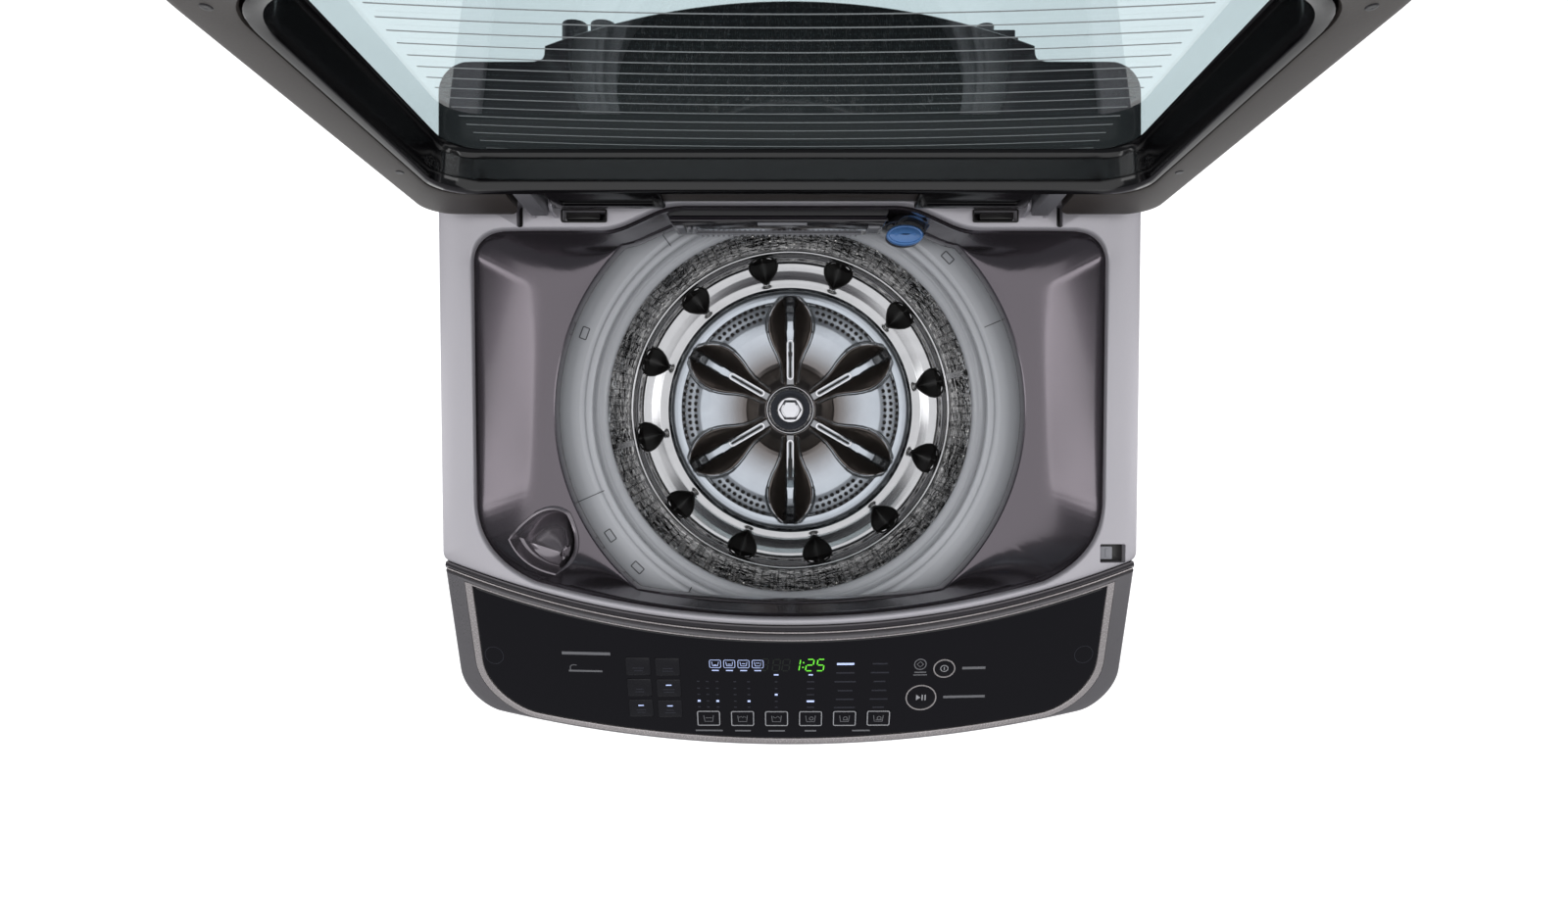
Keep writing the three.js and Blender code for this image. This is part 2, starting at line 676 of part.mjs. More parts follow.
// Ring over the tub's rim, with a skirt outside the tub's wall.
function tubCover() {
  const top = TUB_TOP + 12;
  return turned([
    [199.5, top - 3],
    [201, top],
    [212, top],
    [250, top - 3],
    [288, top - 6],
    [288, TUB_TOP - 16],
    [TUB_R + GAP, TUB_TOP - 16],
    [TUB_R + GAP, TUB_TOP + GAP],
    [212, top - 5],
    [199.5, top - 6],
  ]);
}

function suspensionRod(x, y) {
  const profile = [
    [0, ROD_FOOT_Z],
    [19, ROD_FOOT_Z],
    [19, ROD_FOOT_Z + 8],
    [8, ROD_FOOT_Z + 12],
    [4, ROD_FOOT_Z + 12],
    [4, 876.3],
    [11, 876.3],
    [11, 880],
    [6, 886],
    [0, 886],
  ];
  const made = new THREE.LatheGeometry(
    profile.map(([r, z]) => new THREE.Vector2(r, z)),
    12,
  );
  return solid(made.rotateX(Math.PI / 2).translate(x, y, 0));
}

class Helix extends THREE.Curve {
  constructor(radius, z0, z1, turns) {
    super();
    Object.assign(this, { radius, z0, z1, turns });
  }
  getPoint(t, target = new THREE.Vector3()) {
    const angle = 2 * Math.PI * this.turns * t;
    const z = THREE.MathUtils.lerp(this.z0, this.z1, t);
    return target.set(this.radius * Math.cos(angle), this.radius * Math.sin(angle), z);
  }
}

function suspensionSpring(x, y) {
  const wire = 2.4;
  const path = new Helix(13, ROD_FOOT_Z + 12.5 + wire, LUG_Z - GAP - wire, SPRING_TURNS);
  const section = new THREE.Shape(new THREE.EllipseCurve(0, 0, wire, wire).getPoints(4).slice(0, 4));
  const coil = new THREE.ExtrudeGeometry(section, {
    steps: SPRING_TURNS * 7,
    bevelEnabled: false,
    extrudePath: path,
  });
  return solid(coil.translate(x, y, 0));
}

node("outer_tub", outerTub(), bluishPlastic());
node("tub_cover", tubCover(), bluishPlastic());
["front_left", "front_right", "rear_right", "rear_left"].forEach((corner, i) => {
  const [sx, sy] = rodCorners()[i];
  node(`suspension_rod_${corner}`, suspensionRod(sx * ROD_XY, sy * ROD_XY), zincSteel());
  node(`suspension_spring_${corner}`, suspensionSpring(sx * ROD_XY, sy * ROD_XY), zincSteel());
});

// ---- Drain --------------------------------------------------------------------------------------
function drainPump() {
  const body = rod(34, [CABINET_BOTTOM, 118], [SUMP_X, SUMP_Y]);
  const neck = cut(rod(18, [117, 150], [SUMP_X, SUMP_Y]), rod(13, [125, 151], [SUMP_X, SUMP_Y]));
  const motor = rod(22, [SUMP_Y - 85, SUMP_Y], [SUMP_X, 94], "y");
  const outlet = rod(12, [SUMP_X, SUMP_X + 62], [SUMP_Y, 98], "x", 16);
  return join(body, neck, motor, outlet);
}

// Bellows hose between the tub's sump and the pump.
function drainHose() {
  const [z0, z1] = [150 + GAP, TUB_BOTTOM - 12 - GAP];
  const folds = 5;
  const outer = [];
  for (let k = 0; k <= 2 * folds; k++) {
    outer.push([k % 2 ? 23 : 18.5, z0 + ((z1 - z0) * k) / (2 * folds)]);
  }
  const made = turned([[14, z0], ...outer, [14, z1]], 16).getMesh();
  const geometry = new THREE.BufferGeometry();
  geometry.setAttribute("position", new THREE.BufferAttribute(made.vertProperties, 3));
  geometry.setIndex(new THREE.BufferAttribute(made.triVerts, 1));
  return solid(geometry.translate(SUMP_X, SUMP_Y, 0));
}

node("drain_pump", drainPump(), darkPlastic());
node("drain_hose", drainHose(), finish(0x3a3a3c, 0.8));

// ---- Drive --------------------------------------------------------------------------------------
node(
  "bearing_housing",
  turned(
    [
      [26.3, 272],
      [40, 272],
      [40, 318],
      [120, 318],
      [120, TUB_BOTTOM - 0.3],
      [40, TUB_BOTTOM - 0.3],
      [40, 366],
      [30, 372],
      [17, 372],
      [17, 367],
      [26.3, 362],
    ],
    32,
  ),
  finish(0x9a9c9e, 0.5, 1),
);
node(
  "shaft_bearing",
  turned(
    [
      [16.2, 330],
      [26, 330],
      [26, 350],
      [16.2, 350],
    ],
    32,
  ),
  zincSteel(),
);
node(
  "stator",
  turned(
    [
      [40.3, 292],
      [111, 292],
      [111, 308],
      [40.3, 308],
    ],
    36,
  ),
  finish(0x9c5a2c, 0.5, 0.6),
);
node(
  "rotor",
  turned(
    [
      [10.3, 240],
      [124, 240],
      [124, 306],
      [116, 306],
      [116, 247],
      [20, 247],
      [20, 256],
      [10.3, 256],
    ],
    36,
  ),
  zincSteel(),
);
node(
  "spin_shaft",
  turned(
    [
      [10.5, 262],
      [16, 262],
      [16, 412],
      [10.5, 412],
    ],
    32,
  ),
  zincSteel(),
);
node("wash_shaft", rod(10, [237, 433], [0, 0], "z", 24), zincSteel());

// ---- Basket -------------------------------------------------------------------------------------
const BASKET_WALL_Z = [452, 812];

node(
  "basket_wall",
  turned([
    [BASKET_R, BASKET_WALL_Z[0] + GAP],
    [BASKET_R + 1, BASKET_WALL_Z[0] + GAP],
    [BASKET_R + 1, BASKET_WALL_Z[1]],
    [BASKET_R, BASKET_WALL_Z[1]],
  ]),
  stainless(),
);

// Stepped floor: a rim under the wall, an inclined ring, and a recess that holds the pulsator.
node(
  "basket_floor",
  turned([
    [16.3, 399],
    [45, 399],
    [45, 413.5],
    [189, 413.5],
    [194, 429],
    [230, 443],
    [252, 443],
    [252, BASKET_WALL_Z[0]],
    [243, BASKET_WALL_Z[0]],
    [240, 446],
    [229, 446],
    [192, BASKET_FLOOR_Z],
    [190, 417],
    [16.3, 417],
  ]),
  stainless(),
);

node(
  "balance_ring",
  turned([
    [196, BASKET_WALL_Z[1] + GAP],
    [252, BASKET_WALL_Z[1] + GAP],
    [252, 860],
    [196, 860],
    [190, 854],
    [190, 818],
  ]),
  bluishPlastic(),
);

function pulsator() {
  const dish = turned([
    [0, PULSATOR_Z],
    [60, PULSATOR_Z],
    [180, PULSATOR_Z + 2],
    [PULSATOR_R, PULSATOR_Z + 4],
    [PULSATOR_R, PULSATOR_Z + 10],
    [175, PULSATOR_Z + 12],
    [60, PULSATOR_Z + 17],
    [0, PULSATOR_Z + 17],
  ]);
  const petals = Array.from({ length: 6 }, (_, k) => {
    const petal = new THREE.SphereGeometry(1, 8, 6).scale(66, 31, 24);
    petal.translate(110, 0, PULSATOR_Z + 9).rotateZ(Math.PI / 2 + (k * Math.PI) / 3);
    return solid(petal).intersect(box([-200, 200], [-200, 200], [PULSATOR_Z + 5, 480]));
  });
  const underside = turned([
    [24, PULSATOR_Z - 2],
    [180, PULSATOR_Z - 2],
    [176, PULSATOR_Z + 8.5],
    [60, PULSATOR_Z + 13],
    [24, PULSATOR_Z + 13],
  ]);
  return cut(join(dish, ...petals), underside, rod(10.3, [400, 434], [0, 0], "z", 24));
}

node("pulsator", pulsator(), stainless());
node(
  "pulsator_cap",
  turned(
    [
      [0, PULSATOR_Z + 17 + GAP],
      [38, PULSATOR_Z + 17 + GAP],
      [38, PULSATOR_Z + 24],
      [30, PULSATOR_Z + 28],
      [0, PULSATOR_Z + 28],
    ],
    36,
  ),
  chrome(),
);

// ---- The whole, with its origin under the middle of its box --------------------------------------
machine.position.y = -(FRONT_Y + REAR_Y) / 2;
const washingMachine = new THREE.Group();
washingMachine.add(machine);

export default washingMachine;
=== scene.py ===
"""Top load washing machine: the looks of every piece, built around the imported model.

Shapes are worked out in millimetres about the tub's axis (X right, Y to the rear, Z up) and are put
into the frame's metres as each piece is made.
"""

import json
import math

import bmesh
import bpy
import numpy as np
from mathutils import Matrix, Vector


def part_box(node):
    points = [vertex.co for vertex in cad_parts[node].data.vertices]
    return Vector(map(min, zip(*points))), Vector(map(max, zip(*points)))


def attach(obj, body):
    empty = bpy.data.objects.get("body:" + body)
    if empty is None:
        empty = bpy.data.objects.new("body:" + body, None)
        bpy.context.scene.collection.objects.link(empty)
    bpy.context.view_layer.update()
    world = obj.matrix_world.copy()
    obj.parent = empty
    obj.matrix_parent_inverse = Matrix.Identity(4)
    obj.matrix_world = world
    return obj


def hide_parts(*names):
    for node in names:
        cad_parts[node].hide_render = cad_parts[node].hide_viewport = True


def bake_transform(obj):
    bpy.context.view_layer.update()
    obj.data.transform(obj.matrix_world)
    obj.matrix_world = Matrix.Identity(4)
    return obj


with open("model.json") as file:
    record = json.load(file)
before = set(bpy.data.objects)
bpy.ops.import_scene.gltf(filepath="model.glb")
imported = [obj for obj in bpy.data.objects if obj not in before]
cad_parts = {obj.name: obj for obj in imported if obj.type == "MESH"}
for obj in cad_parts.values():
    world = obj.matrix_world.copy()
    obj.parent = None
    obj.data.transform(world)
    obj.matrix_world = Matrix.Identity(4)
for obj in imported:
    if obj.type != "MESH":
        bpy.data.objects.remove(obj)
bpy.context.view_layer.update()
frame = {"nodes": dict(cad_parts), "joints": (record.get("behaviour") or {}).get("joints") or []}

# ---- The frame's measures ---------------------------------------------------------------------
MM = 0.001
AXIS_Y = sum(corner.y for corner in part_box("pulsator")) / 2


def span(node):
    """Lowest and highest corner of a CAD node, in millimetres about the tub's axis."""
    return [(np.array(corner) - (0, AXIS_Y, 0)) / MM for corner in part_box(node)]


hinge = next(joint for joint in frame["joints"] if joint["name"] == "lid_hinge")["pos_m"]
HINGE_Y = (hinge[1] - AXIS_Y) / MM
HINGE_Z = hinge[2] / MM
LID_LEAN = math.radians(96.8)
LID = Matrix.Translation((0, HINGE_Y, HINGE_Z)) @ Matrix.Rotation(-LID_LEAN, 4, "X")

HALF_WIDTH = span("top_cover")[1][0]
DECK_Z = HINGE_Z - 13.5
DECK_FALL = math.tan(math.radians(1.8))
COVER_BOTTOM = span("top_cover")[0][2]
WING_Y = 316
REAR_Y = span("top_cover")[1][1]
SEAM_Y = 648  # centre of the arc between cover and console
SEAM_R = 854
SEAM_STRIP = 8.5
FRONT_Y = span("console_housing")[0][1]
FRONT_R = 1218
FRONT_CENTRE = FRONT_Y + FRONT_R
CONSOLE_HALF = span("console_housing")[1][0] + 1.2
CONSOLE_REAR_Z = 960
CONSOLE_FRONT_Z = 915
MOUTH_R = 229
MOUTH_Z = 915
LIP_Z = 897
CAP_X = 112  # middle of the softener cap
CAP_Y = 170
CABINET_HALF = span("cabinet_shell")[1][0]
CABINET_REAR = span("rear_panel")[0][1] - 0.3
CABINET_Z = [span("cabinet_shell")[0][2], span("cabinet_shell")[1][2]]
WALL_R = 249.5
PLATE_Z = span("pulsator")[0][2]


# ---- Shapes -----------------------------------------------------------------------------------
class Shape:
    """Points in millimetres and the faces over them."""

    def __init__(self, points, faces):
        self.points = np.asarray(points, float).reshape(-1, 3)
        self.faces = [tuple(face) for face in faces]

    def __add__(self, other):
        first = len(self.points)
        later = [tuple(i + first for i in face) for face in other.faces]
        return Shape(np.vstack([self.points, other.points]), self.faces + later)

    def moved(self, matrix):
        turned = self.points @ np.array(matrix.to_3x3()).T
        return Shape(turned + np.array(matrix.translation), self.faces)

    def shifted(self, x=0, y=0, z=0):
        return Shape(self.points + (x, y, z), self.faces)

    def over(self, height):
        """Laid on a surface: height(x, y) is added to every z."""
        points = self.points.copy()
        points[:, 2] += height(points[:, 0], points[:, 1])
        return Shape(points, self.faces)


def skin(rows, loop=False, capped=False):
    """Quads through rows of points; each row closes on itself, and loop joins last row to first."""
    rows = np.asarray(rows, float)
    count, across = rows.shape[:2]
    faces = []
    for k in range(count if loop else count - 1):
        a, b = k * across, ((k + 1) % count) * across
        faces += [(a + i, a + (i + 1) % across, b + (i + 1) % across, b + i) for i in range(across)]
    if capped:
        faces.append(tuple(range(across))[::-1])
        faces.append(tuple(range((count - 1) * across, count * across)))
    return Shape(rows.reshape(-1, 3), faces)


def arc(centre, radius, start, end, count):
    """Points of an arc between two angles in degrees."""
    a = np.radians(np.linspace(start, end, count))
    return np.column_stack([centre[0] + radius * np.cos(a), centre[1] + radius * np.sin(a)])


def bow(start, control, end, count):
    """Points of a quadratic curve, both ends in."""
    t = np.linspace(0, 1, count)[:, None]
    start, control, end = map(np.asarray, (start, control, end))
    return (1 - t) ** 2 * start + 2 * t * (1 - t) * control + t * t * end


def grown(outline, by):
    """A closed outline pushed outwards by a distance, or inwards where it is negative."""
    sides = np.roll(outline, -1, 0) - outline
    normals = np.column_stack([sides[:, 1], -sides[:, 0]])
    normals /= np.linalg.norm(normals, axis=1)[:, None] + 1e-12
    mean = normals + np.roll(normals, 1, 0)
    mean /= np.maximum((mean**2).sum(1), 1.2)[:, None]
    return outline + 2 * by * mean


def level(outline, z):
    return np.column_stack([outline, np.full(len(outline), 0.0) + z])


def slab(outline, z0, z1, edge=0.6):
    """A plate with rounded rims."""
    outline = np.asarray(outline, float)
    turns = ((1, 0), (0.3, 0.3), (0, 1))
    rows = [level(grown(outline, -edge * i), z0 + edge * k) for i, k in turns]
    rows += [level(grown(outline, -edge * i), z1 - edge * k) for i, k in turns[::-1]]
    return skin(rows, capped=True)


def rounded_rect(width, height, corner, x=0.0, y=0.0, steps=5):
    w, h = width / 2 - corner, height / 2 - corner
    turns = ((w, h, 0), (-w, h, 90), (-w, -h, 180), (w, -h, 270))
    return np.vstack([arc((x + a, y + b), corner, t, t + 90, steps) for a, b, t in turns])


def bounds_rect(x0, x1, y0, y1, corner=1.0):
    return rounded_rect(x1 - x0, y1 - y0, corner, (x0 + x1) / 2, (y0 + y1) / 2)


def brick(xs, ys, zs, corner=1.5, edge=0.8):
    return slab(bounds_rect(*xs, *ys, corner), *zs, edge)


def ring(radius, x=0.0, y=0.0, count=32):
    return arc((x, y), radius, 0, 360 * (1 - 1 / count), count)


def eased(profile, radius, steps=3):
    """A closed profile with its corners rounded."""
    profile = np.asarray(profile, float)
    points = []
    for before, corner, after in zip(np.roll(profile, 1, 0), profile, np.roll(profile, -1, 0)):
        cut = [min(radius, 0.45 * np.linalg.norm(end - corner)) for end in (before, after)]
        ends = [
            corner + (end - corner) / (np.linalg.norm(end - corner) + 1e-9) * c
            for end, c in zip((before, after), cut)
        ]
        points.append(bow(ends[0], corner, ends[1], steps) if min(cut) > 0.01 else [corner])
    return np.vstack(points)


def lathed(profile, sides=240, x=0.0, y=0.0):
    """A closed [radius, z] profile turned about an upright axis."""
    a = 2 * math.pi * np.arange(sides) / sides
    rows = [
        np.column_stack([x + r * np.cos(a), y + r * np.sin(a), np.full(sides, z)]) for r, z in profile
    ]
    return skin(rows, loop=True)


def stroke(path, width, height, closed=False):
    """A flat raised line along a plan path, standing on z = 0."""
    path = np.asarray(path, float)
    along = np.roll(path, -1, 0) - np.roll(path, 1, 0)
    if not closed:
        along[0], along[-1] = path[1] - path[0], path[-1] - path[-2]
    side = np.column_stack([-along[:, 1], along[:, 0]])
    side *= width / 2 / (np.linalg.norm(side, axis=1)[:, None] + 1e-12)
    rows = [level(path + side, 0), level(path + side, height), level(path - side, height)]
    rows.append(level(path - side, 0))
    return skin(np.swapaxes(np.array(rows), 0, 1), loop=closed, capped=not closed)


def tube(path, radius, sides=12, closed=False):
    """A round wire along 3-D points."""
    path = np.asarray(path, float)
    along = np.roll(path, -1, 0) - np.roll(path, 1, 0)
    if not closed:
        along[0], along[-1] = path[1] - path[0], path[-1] - path[-2]
    rows = []
    side = Vector((0, 0, 1)) if abs(Vector(along[0]).normalized().z) < 0.9 else Vector((1, 0, 0))
    for point, way in zip(path, along):
        way = Vector(way).normalized()
        side = (side - way * side.dot(way)).normalized()
        other = way.cross(side)
        a = 2 * math.pi * np.arange(sides) / sides
        rows.append(point + radius * (np.outer(np.cos(a), side) + np.outer(np.sin(a), other)))
    return skin(rows, loop=closed, capped=not closed)


def swept(section, stations, place):
    """A closed section carried through stations: place(station, section point) gives each point."""
    return skin([[place(s, u, v) for u, v in section] for s in stations], capped=True)


def stand_in(shape, name="blank"):
    """A shape as a Blender object in millimetres, with its faces pointing outwards."""
    mesh = bpy.data.meshes.new(name)
    mesh.from_pydata(shape.points.tolist(), [], shape.faces)
    work = bmesh.new()
    work.from_mesh(mesh)
    bmesh.ops.remove_doubles(work, verts=work.verts, dist=1e-4)
    bmesh.ops.recalc_face_normals(work, faces=work.faces)
    work.to_mesh(mesh)
    work.free()
    made = bpy.data.objects.new(name, mesh)
    bpy.context.scene.collection.objects.link(made)
    return made


def baked(blank, *helpers):
    """The evaluated shape of an object; the object and its helpers are then removed."""
    bpy.context.view_layer.update()
    mesh = bpy.data.meshes.new_from_object(blank.evaluated_get(bpy.context.evaluated_depsgraph_get()))
    points = np.zeros(len(mesh.vertices) * 3)
    mesh.vertices.foreach_get("co", points)
    shape = Shape(points, [tuple(face.vertices) for face in mesh.polygons])
    bpy.data.meshes.remove(mesh)
    for each in (blank, *helpers):
        bpy.data.objects.remove(each)
    return shape


def carved(shape, *cutters, operation="DIFFERENCE"):
    """The shape less the cutters, or what they share."""
    blank = stand_in(shape)
    tools = [stand_in(cutter) for cutter in cutters]
    for tool in tools:
        change = blank.modifiers.new("cut", "BOOLEAN")
        change.operation = operation
        change.object = tool
        change.solver = "EXACT"
    return baked(blank, *tools)


def thickened(shape, wall):
    blank = stand_in(shape)
    change = blank.modifiers.new("wall", "SOLIDIFY")
    change.thickness = wall
    change.offset = 1
    return baked(blank)


def pattern_tree():
    """Geometry nodes that set a pattern object on every point, turned by the attribute turn."""
    tree = bpy.data.node_groups.new("pattern_on_points", "GeometryNodeTree")
    sockets = {}
    for name, kind, way in (
        ("Geometry", "NodeSocketGeometry", "INPUT"),
        ("Pattern", "NodeSocketObject", "INPUT"),
        ("Size", "NodeSocketFloat", "INPUT"),
        ("Finish", "NodeSocketMaterial", "INPUT"),
        ("Result", "NodeSocketGeometry", "OUTPUT"),
    ):
        sockets[name] = tree.interface.new_socket(name=name, in_out=way, socket_type=kind).identifier
    start, end = tree.nodes.new("NodeGroupInput"), tree.nodes.new("NodeGroupOutput")
    source = tree.nodes.new("GeometryNodeObjectInfo")
    turn = tree.nodes.new("GeometryNodeInputNamedAttribute")
    turn.data_type = "FLOAT_VECTOR"
    turn.inputs["Name"].default_value = "turn"
    spread = tree.nodes.new("GeometryNodeInstanceOnPoints")
    real = tree.nodes.new("GeometryNodeRealizeInstances")
    paint = tree.nodes.new("GeometryNodeSetMaterial")
    for out, into in (
        (start.outputs["Geometry"], spread.inputs["Points"]),
        (start.outputs["Pattern"], source.inputs["Object"]),
        (source.outputs["Geometry"], spread.inputs["Instance"]),
        (turn.outputs["Attribute"], spread.inputs["Rotation"]),
        (start.outputs["Size"], spread.inputs["Scale"]),
        (spread.outputs["Instances"], real.inputs["Geometry"]),
        (real.outputs["Geometry"], paint.inputs["Geometry"]),
        (start.outputs["Finish"], paint.inputs["Material"]),
        (paint.outputs["Geometry"], end.inputs[0]),
    ):
        tree.links.new(out, into)
    return tree, sockets


PATTERN_TREE, PATTERN_SOCKETS = pattern_tree()


def repeated(pattern, places, turns=None, size=1.0, finish=None):
    """A shape set on every place by the pattern tree, each turned by its Euler angles."""
    mesh = bpy.data.meshes.new("places")
    mesh.from_pydata(np.asarray(places, float).tolist(), [], [])
    turns = np.zeros((len(places), 3)) if turns is None else np.asarray(turns, float)
    mesh.attributes.new("turn", "FLOAT_VECTOR", "POINT").data.foreach_set("vector", turns.ravel())
    points = bpy.data.objects.new("places", mesh)
    bpy.context.scene.collection.objects.link(points)
    source = stand_in(pattern, "pattern")
    change = points.modifiers.new("pattern", "NODES")
    change.node_group = PATTERN_TREE
    change[PATTERN_SOCKETS["Pattern"]] = source
    change[PATTERN_SOCKETS["Size"]] = size
    change[PATTERN_SOCKETS["Finish"]] = finish
    return baked(points, source)


def piece(name, shape, body, finish, replaces=(), crease=32, values=None):
    """A finished piece of the machine, in the frame's metres, riding on its body."""
    mesh = bpy.data.meshes.new(name)
    points = (shape.points + (0, AXIS_Y / MM, 0)) * MM
    mesh.from_pydata(points.tolist(), [], shape.faces)
    for label, value in (values or {}).items():
        mesh.attributes.new(label, "FLOAT", "POINT").data.foreach_set("value", value)
    work = bmesh.new()
    work.from_mesh(mesh)
    bmesh.ops.remove_doubles(work, verts=work.verts, dist=2e-7)
    bmesh.ops.dissolve_degenerate(work, edges=work.edges, dist=1e-7)
    bmesh.ops.recalc_face_normals(work, faces=work.faces)
    work.to_mesh(mesh)
    work.free()
    mesh.materials.append(finish)
    mesh.shade_smooth()
    mesh.set_sharp_from_angle(angle=math.radians(crease))
    made = bpy.data.objects.new(name, mesh)
    bpy.context.scene.collection.objects.link(made)
    if body:
        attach(made, body)
    if replaces:
        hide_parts(*replaces)
    return made


def softened(node, name, body, finish, width=0.6, crease=32):
    """A CAD node's copy with its doubles merged and its edges rounded, in place of the node."""
    source = frame["nodes"][node].data
    mesh = source.copy()
    work = bmesh.new()
    work.from_mesh(mesh)
    bmesh.ops.remove_doubles(work, verts=work.verts, dist=2e-6)
    bmesh.ops.dissolve_limit(
        work, angle_limit=math.radians(1), verts=work.verts, edges=work.edges
    )
    work.to_mesh(mesh)
    work.free()
    if "custom_normal" in mesh.attributes:
        mesh.attributes.remove(mesh.attributes["custom_normal"])
    blank = bpy.data.objects.new("blank", mesh)
    bpy.context.scene.collection.objects.link(blank)
    change = blank.modifiers.new("edge", "BEVEL")
    change.width = width * MM
    change.segments = 2
    change.limit_method = "ANGLE"
    change.angle_limit = math.radians(35)
    change.use_clamp_overlap = True
    shape = baked(blank)
    shape.points = shape.points / MM - (0, AXIS_Y / MM, 0)
    return piece(name, shape, body, finish, (node,), crease)


# ---- Finishes ---------------------------------------------------------------------------------
def tint(red, green, blue):
    """A display colour from 0 to 255 as linear light."""
    parts = [c / 255 for c in (red, green, blue)]
    return tuple(c / 12.92 if c <= 0.04045 else ((c + 0.055) / 1.055) ** 2.4 for c in parts) + (1.0,)


class Value:
    """A shader socket's value; arithmetic on it adds Math nodes to its finish."""

    def __init__(self, finish, socket):
        self.finish = finish
        self.socket = socket

    def _math(self, operation, *terms):
        inputs = dict(enumerate(terms))
        return self.finish.node("ShaderNodeMath", {"operation": operation}, inputs)

    def __add__(self, other):
        return self._math("ADD", self, other)

    def __sub__(self, other):
        return self._math("SUBTRACT", self, other)

    def __rsub__(self, other):
        return self._math("SUBTRACT", other, self)

    def __mul__(self, other):
        return self._math("MULTIPLY", self, other)

    def __gt__(self, other):
        return self._math("GREATER_THAN", self, other)

    __radd__ = __add__
    __rmul__ = __mul__


class Finish:
    """A procedural material built on one Principled shader."""

    def __init__(self, name):
        self.material = bpy.data.materials.new(name)
        self.material.use_nodes = True
        self.tree = self.material.node_tree
        self.tree.nodes.clear()
        self.shader = self.tree.nodes.new("ShaderNodeBsdfPrincipled")
        end = self.tree.nodes.new("ShaderNodeOutputMaterial")
        self.tree.links.new(self.shader.outputs[0], end.inputs[0])

    def node(self, kind, settings=None, inputs=None, output=0):
        made = self.tree.nodes.new(kind)
        for key, value in (settings or {}).items():
            if key == "stops":
                for k, (at, colour) in enumerate(value):
                    stop = made.color_ramp.elements[k] if k < 2 else made.color_ramp.elements.new(at)
                    stop.position, stop.color = at, colour
            else:
                setattr(made, key, value)
        for key, value in (inputs or {}).items():
            self.feed(made.inputs[key], value)
        return Value(self, made.outputs[output])

    def feed(self, socket, value):
        if isinstance(value, Value):
            self.tree.links.new(value.socket, socket)
        else:
            socket.default_value = value

    def place(self):
        return self.node("ShaderNodeTexCoord", output="Object")

    def noise(self, at, scale, detail=2.0, distortion=0.0):
        inputs = {"Vector": at, "Scale": scale, "Detail": detail, "Distortion": distortion}
        return self.node("ShaderNodeTexNoise", {}, inputs)

    def stretched(self, at, by, turn=(0, 0, 0)):
        return self.node("ShaderNodeMapping", {}, {"Vector": at, "Scale": by, "Rotation": turn})

    def blend(self, factor, first, second):
        return self.node(
            "ShaderNodeMix", {"data_type": "RGBA"}, {0: factor, 6: first, 7: second}, output=2
        )

    def turned_about_axis(self):
        """Coordinates that follow circles about the tub's axis: radius, nothing, height."""
        at = self.node("ShaderNodeMapping", {}, {"Vector": self.place(), "Location": (0, -AXIS_Y, 0)})
        parts = self.node("ShaderNodeSeparateXYZ", {}, {0: at})
        flat = self.node("ShaderNodeCombineXYZ", {}, {0: parts, 1: Value(self, parts.socket.node.outputs[1])})
        radius = self.node("ShaderNodeVectorMath", {"operation": "LENGTH"}, {0: flat}, output="Value")
        height = Value(self, parts.socket.node.outputs[2])
        return self.node("ShaderNodeCombineXYZ", {}, {0: radius, 2: height})

    def attribute(self, name):
        return self.node("ShaderNodeAttribute", {"attribute_name": name}, output="Fac")

    def relief(self, height, strength, distance=0.001):
        inputs = {"Height": height, "Strength": strength, "Distance": distance}
        return self.node("ShaderNodeBump", {}, inputs)

    def surface(self, **sockets):
        for key, value in sockets.items():
            self.feed(self.shader.inputs[key.replace("_", " ")], value)
        return self.material


def shaded(colour, factor):
    return tuple(c * factor for c in colour[:3]) + (1.0,)


def moulded(name, colour, rough, metal=0.0, grain=900.0, depth=0.08, mottle=0.12, coat=0.0, flake=0.0):
    """Moulded plastic or paint: a soft mottle, fine grain, and metal flakes where flake is over 0."""
    finish = Finish(name)
    at = finish.place()
    broad = finish.noise(at, 7.0, 3.0)
    fine = finish.noise(at, grain, 2.0)
    shade = finish.blend(broad, shaded(colour, 1 - mottle), shaded(colour, 1 + mottle))
    if flake:
        spots = finish.noise(at, 2600.0, 1.0) > 0.62
        shade = finish.blend(spots * flake, shade, shaded(colour, 1.5))
    return finish.surface(
        Base_Color=shade,
        Roughness=(broad - 0.5) * 0.1 + (fine - 0.5) * 0.08 + rough,
        Metallic=metal,
        Coat_Weight=coat,
        Coat_Roughness=0.08,
        Normal=finish.relief(fine, depth, 0.0002),
    )


